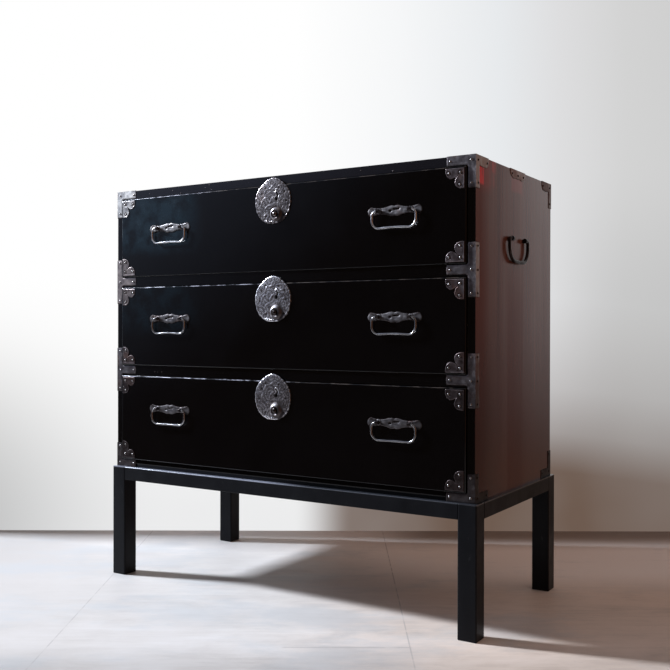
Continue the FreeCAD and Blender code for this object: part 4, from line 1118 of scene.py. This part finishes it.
def wall_look():
    """A wall square to the camera, glowing to camera and glossy rays with painted light and shade: white
    towards the window, grey and then brown in a painted shadow of the chest.
    """
    k = Look("wall", Roughness=0.9)
    k.colour((0.98, 0.85, 0.73))
    along = across_room(k)[0]
    place = k.calc("DIVIDE", k.plus(along, 1.6), 3.2)
    bright = k.ramp(place, [(0.39, (1.0, 1.0, 1.0)), (0.48, (0.92, 0.93, 0.94)), (0.57, (0.80, 0.82, 0.84)),
                            (0.62, (0.73, 0.73, 0.74)), (0.68, (0.65, 0.65, 0.65)),
                            (0.72, (0.63, 0.63, 0.63)), (0.80, (0.62, 0.61, 0.62)),
                            (0.85, (0.44, 0.42, 0.42)), (0.885, (0.16, 0.14, 0.135)),
                            (0.93, (0.05, 0.04, 0.035))])
    # darker at the low left and towards the floor: painted shade
    low_left = k.times(k.span(along, -1.55, -0.70, 1.0, 0.0), k.span(k.z, 0.0, 0.75, 1.0, 0.0), 0.98)
    bright = k.mix(low_left, bright, (0.38, 0.38, 0.37))
    bright = k.mix(k.span(k.z, 0.0, 0.6, 0.30, 0.0), bright, (0.45, 0.46, 0.48))
    # beyond the camera's view on the right the wall's glow darkens towards the floor: painted light and shade
    # that the chest's side reflects
    level = k.ramp(k.calc("DIVIDE", k.z, 1.2), [(0.12, 0.20), (0.27, 0.34), (0.41, 0.50), (0.56, 0.64),
                                                (0.77, 0.86), (0.90, 1.0)])
    near = k.times(k.span(along, 0.30, 0.55), k.span(k.z, 0.60, 1.05, 0.12, 0.0))
    level = k.blend(k.span(along, 0.72, 0.88), k.calc("SUBTRACT", 1.0, near), k.times(level, 1.3))
    bright = k.add("ShaderNodeVectorMath", {0: bright, 3: level}, operation="SCALE").outputs[0]
    # the brown is a painted shadow of the chest, beginning behind its left end
    lift = k.span(k.plus(k.z, k.span(along, 0.1, 1.2, 0.0, 0.10)), 0.0, 0.95)
    dusk = k.ramp(lift, [(0.0, 1.0), (0.10, 0.96), (0.23, 0.58), (0.42, 0.28), (0.8, 0.0)])
    onset = k.plus(k.span(along, -0.36, -0.19, 0.0, 0.88), k.span(along, -0.20, 0.20, 0.0, 0.12))
    gap = k.calc("SUBTRACT", 1.0, k.times(k.window(along, 0.66, 0.72, 0.24), 0.11))
    uneven = k.span(k.noise(2.5, detail=2.0), 0.3, 0.7, 0.96, 1.04)
    tone = k.mix(k.times(onset, dusk, gap, uneven), bright, (0.155, 0.105, 0.080))
    glow = k.add("ShaderNodeEmission", {"Color": tone}).outputs[0]
    path = k.add("ShaderNodeLightPath")
    seen = k.most(path.outputs["Is Camera Ray"], path.outputs["Is Glossy Ray"])
    face = k.add("ShaderNodeMixShader", {0: seen, 1: k.bsdf.outputs[0], 2: glow}).outputs[0]
    clear = k.add("ShaderNodeBsdfTransparent").outputs[0]
    rear = k.add("ShaderNodeNewGeometry").outputs["Backfacing"]
    surface = k.add("ShaderNodeMixShader", {0: rear, 1: face, 2: clear}).outputs[0]
    k.put(k.tree.nodes["Material Output"].inputs["Surface"], surface)
    return k.mat


stage_plane("floor", [(-5.0, -1.0, 0), (3.4, -1.0, 0), (3.4, 4.0, 0), (-5.0, 4.0, 0)], floor_look())
ends = [WALL_AT + WALL_WAY * t for t in (-1.6, 2.4)]
stage_plane("wall", ends + [end + Vector((0, 0, 2.6)) for end in reversed(ends)], wall_look())


def area_light(name, at, toward, size, size_y, power, colour):
    data = bpy.data.lights.new(name, "AREA")
    data.shape, data.size, data.size_y = "RECTANGLE", size, size_y
    data.energy, data.color = power, colour
    obj = new_object(name, data)
    obj.location = at
    obj.rotation_euler = (Vector(toward) - Vector(at)).to_track_quat("-Z", "Y").to_euler()


area_light("window", (-3.3, -1.12, 2.52), (0.0, 0.0, 0.3), 0.36, 0.52, 345.0, (0.88, 0.97, 1.10))


def room_light():
    """A dim room: cool towards the window, pale overhead, warm on the shaded side, plain to the camera."""
    world = bpy.data.worlds.new("room")
    world.use_nodes = True
    bpy.context.scene.world = world
    tree = world.node_tree
    back = tree.nodes["Background"]
    way = add_node(tree, "ShaderNodeTexCoord").outputs["Generated"]
    total = (0.0, 0.0, 0.0)
    for toward, low, high, colour in (((0, 0, 1), -1.0, -0.999, (0.042, 0.028, 0.022)),
                                      ((0, 0, 1), 0.25, 0.85, (0.24, 0.24, 0.25)),
                                      ((-0.785, -0.366, 0.50), 0.75, 0.95, (0.34, 0.42, 0.60)),
                                      ((1.0, 0.1, 0.0), 0.30, 0.95, (0.34, 0.15, 0.075))):
        dot = add_node(tree, "ShaderNodeVectorMath", {0: way, 1: Vector(toward).normalized()},
                       operation="DOT_PRODUCT").outputs["Value"]
        part = add_node(tree, "ShaderNodeMapRange", {0: dot, 1: low, 2: high},
                        interpolation_type="SMOOTHSTEP").outputs[0]
        tint = add_node(tree, "ShaderNodeVectorMath", {0: colour, 3: part}, operation="SCALE").outputs[0]
        total = add_node(tree, "ShaderNodeVectorMath", {0: total, 1: tint}).outputs[0]
    seen = add_node(tree, "ShaderNodeLightPath").outputs["Is Camera Ray"]
    mix = add_node(tree, "ShaderNodeMix", {0: seen, 6: total, 7: (0.80, 0.80, 0.80)}, data_type="RGBA")
    put(tree, back.inputs["Color"], mix.outputs[2])
    put(tree, back.inputs["Strength"], 1.0)


room_light()

camera = bpy.data.cameras.new("camera")
camera.sensor_width, camera.lens = 36.0, 49.30
ahead = Vector((-math.sin(YAW) * math.cos(PITCH), math.cos(YAW) * math.cos(PITCH), math.sin(PITCH)))
right = Vector((math.cos(YAW), math.sin(YAW), 0.0))
up = right.cross(ahead)
across = right * math.cos(ROLL) + up * math.sin(ROLL)
upward = up * math.cos(ROLL) - right * math.sin(ROLL)
eye = new_object("camera", camera)
eye.matrix_world = Matrix((across, upward, -ahead)).transposed().to_4x4()
eye.location = EYE
bpy.context.scene.camera = eye
bpy.context.scene.view_settings.view_transform = "Standard"
